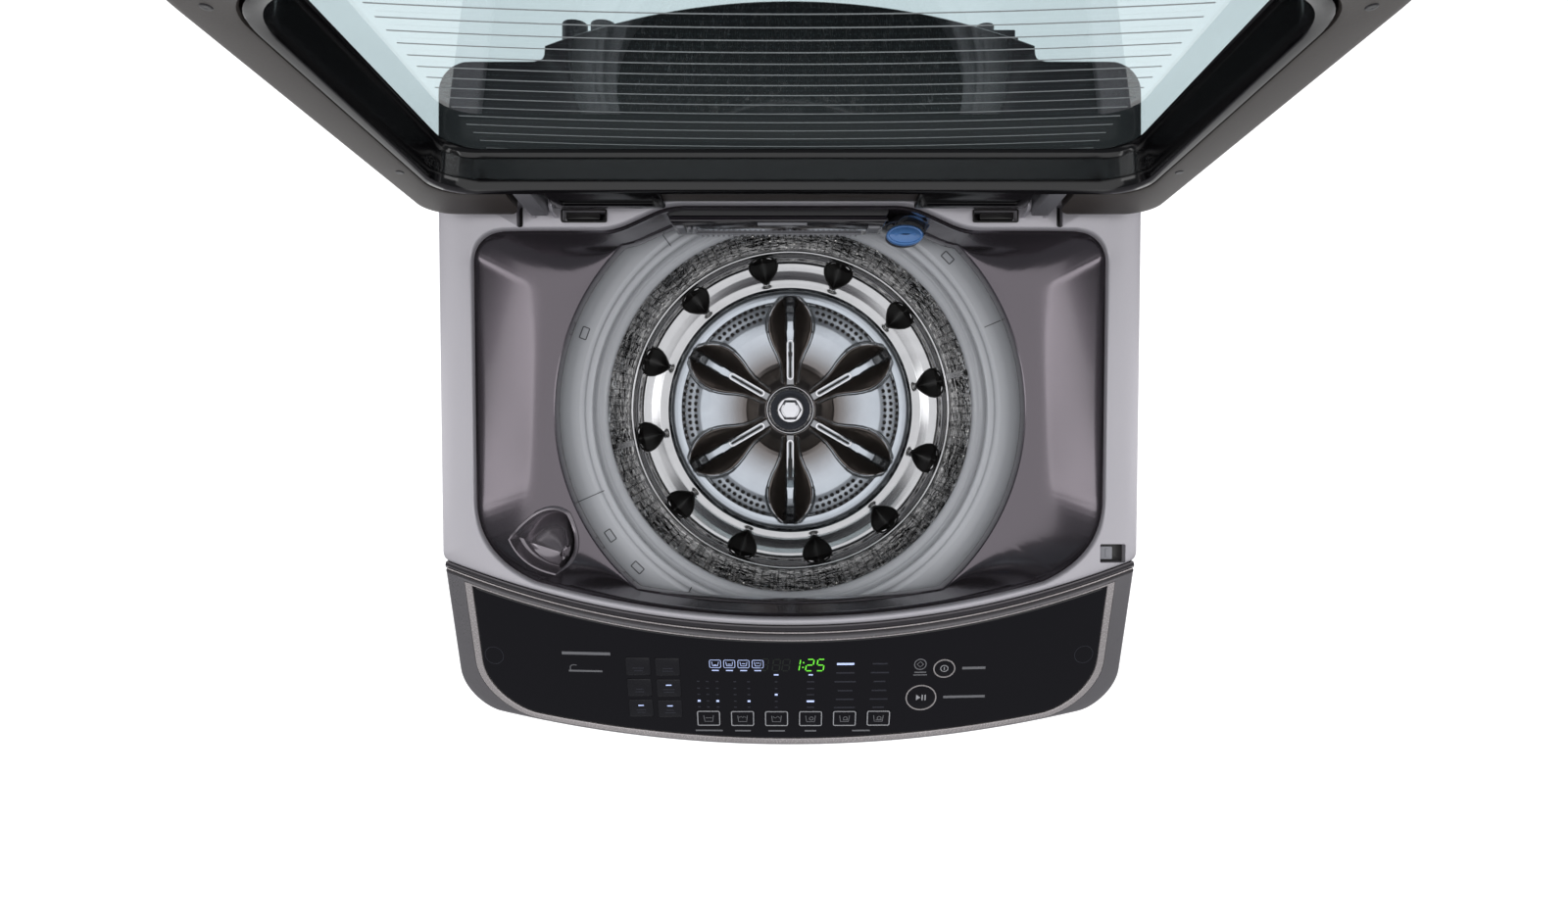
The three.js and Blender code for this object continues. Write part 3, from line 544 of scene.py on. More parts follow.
def turned_steel(name, colour, rough, waves=0.0, shadow=None, wave_scale=26.0, brush=0.1, reflection_blotches=False):
    """Bright sheet steel with marks that run round the tub's axis; it can carry painted reflections as
    near-black blotches in its colour, and painted shade darkens it by the shadow attribute.
    """
    finish = Finish(name)
    lines = finish.noise(finish.turned_about_axis(), 900.0, 3.0)
    smear = finish.noise(finish.place(), wave_scale, 2.0, 0.6)
    shade = finish.blend(smear, shaded(colour, 0.88), shaded(colour, 1.1))
    metal = 1.0
    if reflection_blotches:
        # Painted reflections: near-black blotches mixed into the steel's colour stand for the dark
        # surroundings mirrored in it.
        spots = finish.noise(finish.place(), wave_scale * 1.7, 3.0, 1.2)
        reflection_mask = finish.node(
            "ShaderNodeMath",
            {"operation": "MULTIPLY", "use_clamp": True},
            {0: spots - 0.47, 1: 14.0},
        )
        shade = finish.blend(reflection_mask, tint(30, 27, 25), shade)
    if shadow:
        # Painted shade: the shadow attribute darkens the colour towards brown and makes it less metallic so
        # that the painted shade shows.
        dark = finish.attribute(shadow)
        shade = finish.blend(dark, shade, tint(104, 93, 86))
        metal = 1 - dark * 0.35
    relief = finish.relief(lines, brush, 0.0001)
    if waves:
        relief = finish.node(
            "ShaderNodeBump",
            {},
            {"Height": smear, "Strength": waves, "Distance": 0.009, "Normal": relief},
        )
    return finish.surface(
        Base_Color=shade,
        Roughness=(lines - 0.5) * 0.12 + rough,
        Metallic=metal,
        Normal=relief,
    )


def machined(name, colour, rough, scale=260.0, depth=0.25, metal=1.0):
    """Cast, plated or wound metal with a visible fine texture."""
    finish = Finish(name)
    at = finish.place()
    pits = finish.noise(at, scale, 4.0)
    broad = finish.noise(at, 14.0, 2.0)
    return finish.surface(
        Base_Color=finish.blend(broad, shaded(colour, 0.8), shaded(colour, 1.12)),
        Roughness=(pits - 0.5) * 0.2 + rough,
        Metallic=metal,
        Normal=finish.relief(pits, depth, 0.0006),
    )


def lit(name, colour, strength):
    """A lit mark behind the panel, a little uneven."""
    finish = Finish(name)
    glow = finish.noise(finish.place(), 420.0, 1.0)
    return finish.surface(
        Base_Color=finish.blend(glow, shaded(colour, 0.7), colour),
        Roughness=0.4,
        Emission_Color=finish.blend(glow, shaded(colour, 0.75), colour),
        Emission_Strength=strength,
    )


def tinted_glass():
    finish = Finish("tinted_glass")
    film = finish.noise(finish.place(), 9.0, 2.0)
    return finish.surface(
        Base_Color=finish.blend(film, tint(176, 192, 196), tint(188, 204, 207)),
        Roughness=film * 0.02,
        Transmission_Weight=1.0,
        IOR=1.5,
        Coat_Weight=0.0,
    )


def copper_windings():
    finish = Finish("copper_windings")
    at = finish.stretched(finish.place(), (1.0, 1.0, 9.0))
    turns = finish.node("ShaderNodeTexWave", {"bands_direction": "Z"}, {"Vector": at, "Scale": 90.0})
    return finish.surface(
        Base_Color=finish.blend(turns, tint(96, 44, 20), tint(190, 104, 56)),
        Roughness=(turns - 0.5) * 0.2 + 0.4,
        Metallic=0.9,
        Normal=finish.relief(turns, 0.5, 0.001),
    )


def circuit_board():
    finish = Finish("circuit_board")
    at = finish.place()
    tracks = finish.node("ShaderNodeTexVoronoi", {"distance": "MANHATTAN"}, {"Vector": at, "Scale": 90.0})
    return finish.surface(
        Base_Color=finish.blend(tracks > 0.5, tint(18, 74, 40), tint(40, 112, 66)),
        Roughness=tracks * 0.2 + 0.4,
        Coat_Weight=0.3,
    )


SILVER = moulded(
    "silver_cover", tint(183, 180, 186), 0.38, 0.35, depth=0.04, flake=0.15, coat=0.15, mottle=0.05
)
BOWL = moulded("bowl_grey", tint(98, 92, 98), 0.22, 0.85, depth=0.02, coat=0.3, mottle=0.04)
FUNNEL = moulded("funnel_grey", tint(128, 122, 128), 0.22, 0.7, depth=0.02, coat=0.4, mottle=0.04)
# Near-black painted shade for the deck behind the hinge, which lies in the open lid's shade.
SHADED_REAR_DECK = moulded("rear_deck_painted_shade", tint(16, 15, 17), 0.24, 0.0)
CHEEK = moulded("console_metallic", tint(138, 135, 138), 0.3, 0.55, flake=0.3, coat=0.2)
SEAM = moulded("seam_strip", tint(80, 76, 80), 0.2, 0.6, coat=0.4)
GLOSS = moulded("black_gloss", tint(17, 15, 20), 0.1, 0.0, depth=0.01)
GLOSS_WALL = moulded("dispenser_gloss", tint(38, 34, 40), 0.13, 0.15, depth=0.02, coat=0.5)
TRIM = machined("bright_trim", tint(205, 198, 198), 0.26, 700.0, 0.05, 0.45)
DARK = moulded("dark_plastic", tint(38, 37, 40), 0.42, depth=0.2)
KEY_FACE = moulded("key_plastic", tint(30, 29, 33), 0.2, depth=0.03)
PRINT = moulded("print_grey", tint(120, 120, 124), 0.4, depth=0.02)
PRINT_FAINT = moulded("print_faint", tint(50, 50, 58), 0.35, depth=0.02)
PRINT_BRIGHT = moulded("print_bright", tint(176, 176, 180), 0.35, depth=0.02)
BLUE = moulded("blue_cap", tint(92, 142, 208), 0.3, mottle=0.05, coat=0.2)
GREY = moulded("grey_plastic", tint(140, 140, 146), 0.42, depth=0.15)
STRAP = moulded("strap_grey", tint(124, 123, 128), 0.4, 0.2, depth=0.12)
TUB = moulded("tub_plastic", tint(200, 202, 207), 0.3, grain=500.0, mottle=0.06, coat=0.12)
# Dark grey painted shade for the lines and clip outlines on the tub ring, standing for the shade in grooves.
GROOVE_SHADE = moulded("tub_groove_shade", tint(92, 93, 98), 0.35)
STEEL = turned_steel("stainless_steel", tint(186, 186, 188), 0.16)
# The wash plate's steel takes painted shade from its shadow attribute.
PLATE = turned_steel("wash_plate_steel", tint(184, 190, 198), 0.15, shadow="shadow")
# The drum wall carries painted reflections: near-black blotches in its colour.
WALL = turned_steel(
    "drum_wall_steel", tint(236, 234, 230), 0.14, waves=1.0, wave_scale=46.0, brush=0.03, reflection_blotches=True
)
CHROME = machined("hub_chrome", tint(214, 214, 218), 0.1, 300.0, 0.04)
HUB_CAST = machined("hub_cast", tint(64, 66, 72), 0.25, 900.0, 0.9)
POCKET = moulded("pocket_black", tint(30, 28, 28), 0.34, depth=0.15)
LID_RIM = moulded("lid_plastic", tint(60, 54, 51), 0.5, depth=0.3)
GLASS = tinted_glass()
REAR_GLOSS = moulded("lid_gloss", tint(12, 11, 13), 0.16, depth=0.01)
GLASS_PRINT = moulded("glass_print", tint(168, 174, 176), 0.4)
PAINT = moulded("painted_cabinet", tint(178, 178, 182), 0.32, 0.4, grain=320.0, depth=0.1, coat=0.25)
CAST = machined("cast_aluminium", tint(150, 152, 156), 0.45, 180.0, 0.5)
BEARING = machined("bearing_steel", tint(160, 160, 162), 0.2, 500.0, 0.08)
ZINC = machined("zinc_steel", tint(168, 172, 176), 0.32, 320.0, 0.12)
COPPER = copper_windings()
BOARD = circuit_board()
RUBBER = moulded("hose_rubber", tint(44, 44, 46), 0.7, grain=600.0, depth=0.3)
FOOT = moulded("foot_rubber", tint(30, 30, 30), 0.75, grain=500.0, depth=0.4)
GREEN_LIGHT = lit("green_light", tint(110, 225, 60), 1.0)
GREEN_GHOST = moulded("green_ghost", tint(38, 42, 38), 0.3, depth=0.02)
WHITE_LIGHT = lit("white_light", tint(190, 205, 250), 0.9)


# ---- Plans ------------------------------------------------------------------------------------
def deck_height(y):
    return DECK_Z + np.minimum(0, y - HINGE_Y) * DECK_FALL


def arc_y(x, radius, centre):
    return centre - np.sqrt(radius**2 - np.square(x))


def seam_arc(radius, half, count=90):
    turn = math.degrees(math.asin(half / radius))
    return arc((0, SEAM_Y), radius, -90 - turn, -90 + turn, count)


def cover_plan(front=0.0):
    """The top cover's outer edge; front moves its seam edge to the rear."""
    bulge_r = 625
    bulge = math.degrees(math.asin(221 / bulge_r))
    radius, soft = SEAM_R - 0.3 - front, 7
    corner = (HALF_WIDTH, arc_y(HALF_WIDTH, radius, SEAM_Y))
    start = (HALF_WIDTH - soft, arc_y(HALF_WIDTH - soft, radius, SEAM_Y))
    rounding = bow(start, corner, (HALF_WIDTH, corner[1] + soft), 8)
    return np.vstack([
        seam_arc(radius, HALF_WIDTH - soft)[1:-1],
        rounding,
        arc((HALF_WIDTH - 28, WING_Y - 28), 28, 0, 90, 12),
        bow((231, WING_Y), (224, WING_Y), (221, WING_Y + 4), 4),
        arc((0, REAR_Y - bulge_r), bulge_r, 90 - bulge, 90 + bulge, 60),
        bow((-221, WING_Y + 4), (-224, WING_Y), (-231, WING_Y), 4),
        arc((-HALF_WIDTH + 28, WING_Y - 28), 28, 90, 180, 12),
        rounding[::-1] * (-1, 1),
    ])


def bowl_plan():
    """The bowl's edge at the deck, with the platforms that carry the hinges."""
    half, front_r, corner, platform = 286, SEAM_R - 16, 27, 162
    front_y = arc_y(232, front_r, SEAM_Y)

    def side(s):
        return [
            bow((s * 232, front_y), (s * half, front_y + 24), (s * half, front_y + 76), 16),
            arc((s * (half - corner), 161 - corner), corner, 90 - s * 90, 90 - s * 14, 12),
            bow((s * 258, platform - 0.5), (s * 240, platform), (s * 222, platform), 5),
            bow((s * 172, platform), (s * 160, platform), (s * 148, 167), 5),
            bow((s * 124, 178), (s * 112, 184), (s * 96, 184.5), 5),
        ]

    right, left = side(1), side(-1)
    return np.vstack([seam_arc(front_r, 232, 70), *right, *[part[::-1] for part in left[::-1]]])


def reach(outline, angles):
    """Distance from the axis to a closed outline along each angle."""
    ends = np.roll(outline, -1, 0)
    side = ends - outline
    found = np.zeros(len(angles))
    for k, angle in enumerate(angles):
        d = np.array([math.cos(angle), math.sin(angle)])
        across = d[0] * side[:, 1] - d[1] * side[:, 0]
        across[np.abs(across) < 1e-12] = 1e-12
        along = (outline[:, 0] * d[1] - outline[:, 1] * d[0]) / across
        distance = (outline[:, 0] * side[:, 1] - outline[:, 1] * side[:, 0]) / across
        found[k] = distance[(along >= -1e-9) & (along <= 1 + 1e-9)].max()
    return found


def cap_oval(half_x, half_y):
    """An oval round the softener cap's middle."""
    t = np.radians(np.arange(64) * 360 / 64)
    return np.column_stack([CAP_X + half_x * np.cos(t), CAP_Y + half_y * np.sin(t)])


BOWL_EDGE = bowl_plan()
CORNERS = cover_plan(SEAM_STRIP)
CORNERS = np.vstack([BOWL_EDGE, CORNERS[(np.abs(CORNERS[:, 0]) > HALF_WIDTH - 8) & (CORNERS[:, 1] < -120)]])
ANGLES = np.unique(np.round(np.concatenate([
    np.radians(np.arange(0, 360, 0.75)),
    np.arctan2(CORNERS[:, 1], CORNERS[:, 0]) % (2 * math.pi),
]), 4))
WAYS = np.column_stack([np.cos(ANGLES), np.sin(ANGLES)])
EDGE_REACH = reach(BOWL_EDGE, ANGLES)
EDGE = WAYS * EDGE_REACH[:, None]


def deck_rows(outline, rows):
    """Rows of a band that hangs at (growth, drop) pairs from the deck's height over an outline."""
    found = []
    for growth, drop in rows:
        plan = grown(outline, growth)
        if drop == "foot":
            found.append(level(plan, COVER_BOTTOM + 0.4))
        else:
            found.append(level(plan, deck_height(plan[:, 1]) - drop))
    return found


# ---- Top cover --------------------------------------------------------------------------------
def cover_shell():
    """The deck from the bowl's edge to the outer wall, as a closed sheet."""
    outer = WAYS * reach(cover_plan(SEAM_STRIP), ANGLES)[:, None]
    inner_bead = ((0.2, 10), (0.2, 4.2), (0.6, 2.2), (1.5, 0.8), (3.0, 0.05))
    outer_edge = ((-3.2, 0), (-1.5, 0.5), (-0.4, 1.8), (0, 4), (0, 9), (0, "foot"), (-2.6, "foot"))
    rows = deck_rows(EDGE, inner_bead) + deck_rows(outer, outer_edge)
    rows += deck_rows(outer, ((-2.6, 9),)) + deck_rows(EDGE, ((2.8, 10),))
    return skin(rows, loop=True)


def teardrop(grow=0.0):
    """The bleach pocket's outline."""
    points = np.vstack([
        bow((-262, -121), (-238, -84), (-215, -101), 16)[:-1],
        bow((-215, -101), (-196, -138), (-219, -154), 16)[:-1],
        bow((-219, -154), (-250, -146), (-262, -121), 16)[:-1],
    ])[::-1]
    return grown(points, grow)


def bowl_height(x, y):
    """The bowl's surface, from its edge down to the round mouth."""
    angle = np.arctan2(y, x) % (2 * math.pi)
    outer = np.interp(angle, ANGLES, EDGE_REACH, period=2 * math.pi)
    inner = np.minimum(MOUTH_R, outer)
    u = np.clip((outer - np.hypot(x, y)) / np.maximum(outer - inner, 0.1), 0, 1)
    top = deck_height(y) - 11
    return MOUTH_Z + (top - MOUTH_Z) * (1 - u) ** 1.75


def bowl():
    """The dark bowl: a rounded shoulder, a concave fall to the mouth and a turned-down lip."""
    inner = np.minimum(MOUTH_R, EDGE_REACH - 2.5)
    top = deck_height(EDGE[:, 1])
    front = []
    for growth, drop in ((-0.1, 6), (-0.8, 8.5), (-2.2, 10.5)):
        front.append(level(grown(EDGE, growth), top - drop))
    start = np.linalg.norm(front[-1][:, :2], axis=1)
    for u in np.linspace(0.02, 1, 26):
        r = start + (inner - start) * u
        z = MOUTH_Z + (top - 11 - MOUTH_Z) * (1 - u) ** 1.75
        front.append(np.column_stack([WAYS * r[:, None], z]))
    for r_in, z in ((0.9, MOUTH_Z - 0.9), (1.3, MOUTH_Z - 3), (1.4, LIP_Z + 1.5), (0.9, LIP_Z)):
        front.append(np.column_stack([WAYS * (inner - r_in)[:, None], np.full(len(WAYS), z)]))
    behind = WAYS * (inner + 2)[:, None]
    back = [np.column_stack([behind, np.full(len(WAYS), z)]) for z in (LIP_Z, MOUTH_Z - 6)]
    for u in (0.7, 0.4, 0.15):
        r = start + (inner - start) * u + 2.6
        z = MOUTH_Z + (top - 11 - MOUTH_Z) * (1 - u) ** 1.75 - 4
        back.append(np.column_stack([WAYS * r[:, None], z]))
    back.append(level(grown(EDGE, 2.4), top - 12))
    back.append(level(grown(EDGE, 2.4), top - 6.2))
    return skin(front + back, loop=True)


def bleach_pocket():
    """A raised teardrop rim, a groove inside it, and a funnel that runs to the hole."""
    hole = np.array([-210.0, -135.0])
    plan = teardrop()
    rows = []
    lip = ((3.4, -2), (2.8, 0.8), (1.2, 1.8), (-0.6, 1.4), (-1.6, -2), (-2.6, -11), (-4, -13.5))
    for growth, lift in lip:
        ring_plan = grown(plan, growth)
        rows.append(level(ring_plan, bowl_height(plan[:, 0], plan[:, 1]) + lift))
    around = np.arctan2(*(grown(plan, -5) - hole).T[::-1])
    mouth = hole + 5.3 * np.column_stack([np.cos(around), np.sin(around)])
    groove = rows[-1]
    for u, lift in ((0.1, -1.0), (0.2, 2.2), (0.3, 3.6), (0.5, 2.6), (0.75, 0.8), (0.97, 0)):
        flat = groove[:, :2] * (1 - u) + mouth * u
        height = groove[:, 2] * (1 - u) + 940 * u + lift
        rows.append(np.column_stack([flat, height]))
    rows.append(level(mouth, 938.5))
    rows.append(level(mouth, 926))
    rows.append(level(hole + (mouth - hole) * 0.1, 925.5))
    return skin(rows, capped=False)


def ear(x):
    """One of the hinge's ears: a plate that stands on the deck round the pin."""
    outline = np.vstack([
        arc((0, 0), 8, -20, 200, 16),
        [(-9.5, DECK_Z - 4 - HINGE_Z), (9.5, DECK_Z - 4 - HINGE_Z)],
    ])
    turn = Matrix.Translation((x, HINGE_Y, HINGE_Z)) @ Matrix.Rotation(math.pi / 2, 4, "Z")
    return slab(outline, -1.8, 1.8, 0.5).moved(turn @ Matrix.Rotation(math.pi / 2, 4, "X"))


def top_cover():
    shell = cover_shell()
    rear, rear_part = [((-400, 400), (HINGE_Y + gap, 420), (880, 1000), 1, 0.01) for gap in (9, 9.4)]
    slots = [brick(sorted((s * 165, s * 204)), (169, 179), (955, 990), 1.2, 0.1) for s in (-1, 1)]
    slots += [brick(sorted((s * 239.4, s * 245)), (164, 184), (955, 990), 2, 0.1) for s in (-1, 1)]
    lock = brick((282, 305), (-139, -122), (945, 990), 1, 0.1)
    rim = carved(shell, brick(*rear), *slots, lock)
    for s in (-1, 1):
        rim = rim + ear(s * 208.9) + ear(s * 229.1)
    piece("deck_rim", rim, "cabinet", SILVER, ("top_cover",))
    back = carved(shell, brick(*rear_part), operation="INTERSECT")
    # The deck behind the hinge takes the near-black painted shade of the open lid.
    piece("rear_deck", back, "cabinet", SHADED_REAR_DECK)

    front_edge = [
        (-8.2, -0.6), (-7.0, -0.4), (-4.4, -1.6), (-1.8, -4.2), (-0.5, -7.5), (0, -12), (0, -60), (-8.2, -60),
    ]
    turns = np.radians(np.linspace(-90, 90, 121) * math.asin(315.6 / SEAM_R) / (math.pi / 2) - 90)
    strip = swept(front_edge, turns, lambda t, u, v: (
        (SEAM_R - 0.3 + u) * math.cos(t),
        SEAM_Y + (SEAM_R - 0.3 + u) * math.sin(t),
        deck_height(SEAM_Y + SEAM_R * math.sin(t)) + v,
    ))
    piece("seam_strip", strip, "cabinet", SEAM)
    bead = swept([(-0.9, -8.4), (0.2, -8.0), (0.2, -9.6), (-0.9, -9.6)], turns, lambda t, u, v: (
        (SEAM_R + u) * math.cos(t),
        SEAM_Y + (SEAM_R + u) * math.sin(t),
        deck_height(SEAM_Y + SEAM_R * math.sin(t)) + v,
    ))
    piece("seam_bead", bead, "cabinet", TRIM)

    well = slab(cap_oval(19.2, 12.6), 885, 945, 0.1)
    drawer_gap = brick((-113, 91), (150, 200), (896.5, 957), 2, 0.1)
    basin = carved(bowl(), slab(teardrop(0.6), 880, 1000, 0.1), well, drawer_gap)
    piece("bowl", basin, "cabinet", BOWL)
    piece("bleach_funnel", thickened(bleach_pocket(), -1.6), "cabinet", FUNNEL)
    loop = stroke(arc((-205.5, -146.5), 4.2, -150, 190, 20), 1.4, 1.6)
    loop = loop.over(lambda x, y: bowl_height(x, y) - 0.4)
    piece("funnel_loop", loop, "cabinet", BOWL)

    liners = Shape(np.zeros((0, 3)), [])
    for s in (-1, 1):
        xs = sorted((s * 164.6, s * 204.4))
        frame_line = stroke(bounds_rect(*xs, 168.6, 179.4, 1.2), 1.4, 1.0, closed=True)
        liners = liners + frame_line.over(lambda x, y: deck_height(y) - 0.2)
        liners = liners + brick(xs, (168.6, 179.4), (948, 956), 1, 0.4)
        liners = liners + brick(sorted((s * 238, s * 246.4)), (165.5, 185), (957, 964), 1, 0.4)
        inner = sorted((s * 172, s * 203))
        liners = liners + brick(inner, (172.5, 178.5), (955, 966), 1, 0.6)
    liners = liners + brick((281.6, 305.4), (-139.4, -121.6), (944, 955.6), 1, 0.4)
    piece("slot_liners", liners, "cabinet", POCKET)

    hood = [(22, 912), (22.6, 930), (20, 946), (12, 955), (12, 952), (18, 944), (20.6, 930), (20, 912)]
    a = np.radians(np.linspace(14, 166, 40))
    rows = [[(CAP_X + r * math.cos(t), 172 + 0.58 * r * math.sin(t), z) for r, z in hood] for t in a]
    piece("softener_hood", skin(rows, capped=True), "cabinet", DARK)


# ---- Dispenser --------------------------------------------------------------------------------
def dispenser():
    face = slab(bounds_rect(-111, 89, 173.2, 177.8, 1.6), 899, 956, 0.8)
    tray = carved(
        slab(bounds_rect(-108.5, 86.5, 176.5, 288, 4), 901, 950, 1.2),
        slab(bounds_rect(-105.5, 7, 180, 285, 4), 904, 960, 1.2),
        slab(bounds_rect(11.5, 83.5, 180, 285, 4), 904, 960, 1.2),
    )
    piece("drawer_front", face, "drawer", GLOSS_WALL, ("detergent_drawer",))
    piece("drawer_tray", tray, "drawer", TUB)
    tooth = brick((-1.1, 1.1), (-1.6, 1.2), (-4.2, 0), 0.5, 0.3)
    places = [(x, 172.6, 904) for x in np.arange(-86, 66, 5.2)]
    comb = repeated(tooth, places, finish=TUB)
    comb = comb + brick((-92, 70), (172.2, 174), (903, 905), 0.6, 0.3)
    piece("drawer_comb", comb, "drawer", GREY)
    grips = [brick((x, x + w), (171.2, 174.4), (z, z + h), 1, 0.6) for x, w, z, h in (
        (-107, 7, 912, 26), (-97, 3, 918, 14), (-92, 3, 918, 14), (74, 11, 914, 22), (-30, 46, 946, 4),
    )]
    piece("drawer_grips", sum(grips[1:], grips[0]), "drawer", GREY)
    case = carved(
        slab(bounds_rect(-113, 91, 178.6, 297, 4), 897, 955, 1.2),
        slab(bounds_rect(-110.4, 88.4, 160, 291, 3), 899.4, 951.4, 0.8),
    )
    case = case + slab(cap_oval(17.6, 9.6), 897, 906.6, 0.6)
    piece("dispenser_case", case, "cabinet", DARK, ("dispenser_box",))
    outline = cap_oval(18, 10)
    low = span("softener_cap")[0][2]
    rows = [level(grown(outline, g), low + z) for g, z in (
        (-0.6, 0), (0, 0.6), (0, 5.2), (-0.5, 6.3), (-1.6, 6.9), (-2.6, 6.4), (-3.4, 6.8), (-5.4, 7.8),
        (-7.6, 8.5), (-9.4, 8.8),
    )]
    piece("softener_button", skin(rows, capped=True), "softener", BLUE, ("softener_cap",))


def lid_lock():
    low, high = span("lid_lock_slider")
    latch = brick((low[0], high[0]), (low[1], high[1]), (low[2], high[2] - 1), 1, 0.6)
    rib = brick(
        (low[0] + 4.6, low[0] + 6.4), (low[1] + 1.5, high[1] - 1.5), (high[2] - 1.5, high[2]), 0.6, 0.3
    )
    piece("lock_latch", latch + rib, "lid_lock", GREY, ("lid_lock_slider",))
    softened("lid_lock_housing", "lock_case", "cabinet", DARK)


# ---- Console ----------------------------------------------------------------------------------
def console_rear(x):
    return arc_y(x, SEAM_R, SEAM_Y)


def console_front(x):
    return arc_y(x, FRONT_R, FRONT_CENTRE)


def console_height(x, y):
    """The console's sloped face."""
    t = (console_rear(x) - y) / (console_rear(x) - console_front(x))
    return CONSOLE_REAR_Z + (CONSOLE_FRONT_Z - CONSOLE_REAR_Z) * t


def console_plan(side, rear, front, corner):
    """A closed outline on the console, inset at its sides, rear and front, with round front corners."""
    half = CONSOLE_HALF - side
    straight = half - corner[0]
    rear_x = np.linspace(half, -half, 81)
    front_x = np.linspace(-straight, straight, 81)
    rear_edge = np.column_stack([rear_x, console_rear(rear_x) - rear])
    front_edge = np.column_stack([front_x, console_front(front_x) + front])
    end_y = console_front(straight) + front
    slope = straight / math.sqrt(FRONT_R**2 - straight**2)
    t = np.radians(np.linspace(0, 90, 15))[1:-1]
    round_x = straight + corner[0] * np.sin(t)
    round_y = end_y + corner[1] * (1 - np.cos(t)) + slope * (round_x - straight) * np.cos(t)
    right = np.column_stack([round_x, round_y])
    top = console_rear(half) - rear
    side_y = np.linspace(end_y + corner[1], top, 6)[:-1]
    right = np.vstack([right, np.column_stack([np.full(5, half), side_y])])
    left = right[::-1] * (-1, 1)
    return np.vstack([rear_edge, left, front_edge, right])


def on_console(plan, lift):
    return np.column_stack([plan, console_height(plan[:, 0], plan[:, 1]) + lift])


OUTER = dict(side=0.0, rear=0.0, front=0.0, corner=(36, 46))
TRIM_OUT = dict(side=18.0, rear=4.6, front=3.4, corner=(54, 60))
TRIM_IN = dict(side=24.6, rear=6.2, front=8.8, corner=(50, 56))


def inset(plan, by):
    return dict(
        side=plan["side"] + by,
        rear=plan["rear"] + by,
        front=plan["front"] + by,
        corner=tuple(c - by * 0.6 for c in plan["corner"]),
    )


def console_body():
    """The dark metallic moulding round the panel, with a rounded front and a recess for the trim."""
    rows = [level(console_plan(**OUTER), COVER_BOTTOM)]
    for by, lift in ((0, -12), (0.2, -5), (0.8, -2.2), (1.7, -0.8), (2.6, -0.2)):
        plan = inset(OUTER, by)
        plan["rear"] = min(by, 2.0)
        rows.append(on_console(console_plan(**plan), lift))
    rows.append(on_console(console_plan(**inset(TRIM_OUT, -0.4)), 0))
    rows.append(on_console(console_plan(**TRIM_OUT), -1.0))
    rows.append(on_console(console_plan(**TRIM_OUT), -4.6))
    rows.append(on_console(console_plan(**inset(TRIM_IN, 6)), -4.6))
    rows.append(on_console(console_plan(**inset(TRIM_IN, 6)), -8))
    rows.append(level(console_plan(**inset(OUTER, 4)), COVER_BOTTOM + 6))
    rows.append(level(console_plan(**inset(OUTER, 4)), COVER_BOTTOM))
    return skin(rows, loop=True)


def gloss_panel():
    """The black panel: a sloped face with rounded rims, filled to a spine down its middle."""
    rows = [on_console(console_plan(**inset(TRIM_IN, by)), lift) for by, lift in (
        (1, -4.2), (0.4, -3.9), (0.3, -1.0), (0.6, -0.4), (1.6, -0.05), (3, 0),
    )]
    edge = console_plan(**inset(TRIM_IN, 3))
    rear, left, front, right = np.split(edge, [81, 99, 180])
    middle = (rear + front[::-1]) / 2
    ends = [np.repeat(middle[k : k + 1], len(part), 0) for k, part in ((80, left), (0, right))]
    spine = np.vstack([middle, ends[0], middle[::-1], ends[1]])
    for u in (0.34, 0.67, 1.0):
        rows.append(on_console(edge * (1 - u) + spine * u, 0))
    bottom = [row - (0, 0, 4.2) for row in rows[:5:-1]]
    return skin(bottom + rows, loop=False)


class Key:
    """One key: its place on the console and its CAD node's plane."""

    def __init__(self, name, outline):
        self.outline = outline
        low, high = span(name)
        self.name = name
        self.x = (low[0] + high[0]) / 2
        self.y = (low[1] + high[1]) / 2
        self.slope = math.atan(45 / (console_rear(self.x) - console_front(self.x)))
        self.depth = high[1] - low[1]
        self.width = high[0] - low[0]
        self.place = Matrix.Translation((self.x, self.y, float(console_height(self.x, self.y))))
        self.place = self.place @ Matrix.Rotation(self.slope, 4, "X")

    def made(self, shape, suffix, finish, slot, replaces=()):
        piece(self.name + suffix, shape.moved(self.place), self.name, finish, replaces)


def key_set():
    found = {}
    for k in range(1, 7):
        found[f"course_key_{k}"] = Key(f"course_key_{k}", rounded_rect(23.3, 18.8, 2.6))
        found[f"option_key_{k}"] = Key(f"option_key_{k}", rounded_rect(22.8, 19.3, 1.6))
    found["power_key"] = Key("power_key", ring(10.6, count=64))
    found["start_key"] = Key("start_key", ring(14.9, count=64))
    return found


MARK = 0.25  # height of a printed mark
KEY_TOP = 0.42


def marks(*strokes):
    return sum(strokes[1:], strokes[0]).shifted(z=KEY_TOP - 0.1)


def basin_icon(k):
    """A plain basin with something different in it for each key."""
    tub_line = stroke([(-4.6, 3.4), (-3.8, -3.6), (3.8, -3.6), (4.6, 3.4)], 0.7, MARK)
    waves = [
        stroke([(-3, 0.6), (3, 0.6)], 0.6, MARK),
        stroke([(-3.4, 1.2), (-1.2, 2.6), (0, 0.8), (1.2, 2.6), (3.4, 1.2)], 0.6, MARK),
        stroke([(-3.4, 2.8), (-1.2, 0.6), (1.2, 2.8), (3.4, 0.6)], 0.6, MARK),
        stroke(ring(1.9, 0.8, 0.2, 14), 0.6, MARK, closed=True),
    ]
    extra = waves[min(k, 3)]
    if k > 3:
        extra = extra + stroke([(2.6 - k, -1.8), (3.4, -1.8)], 0.6, MARK)
    return tub_line + extra


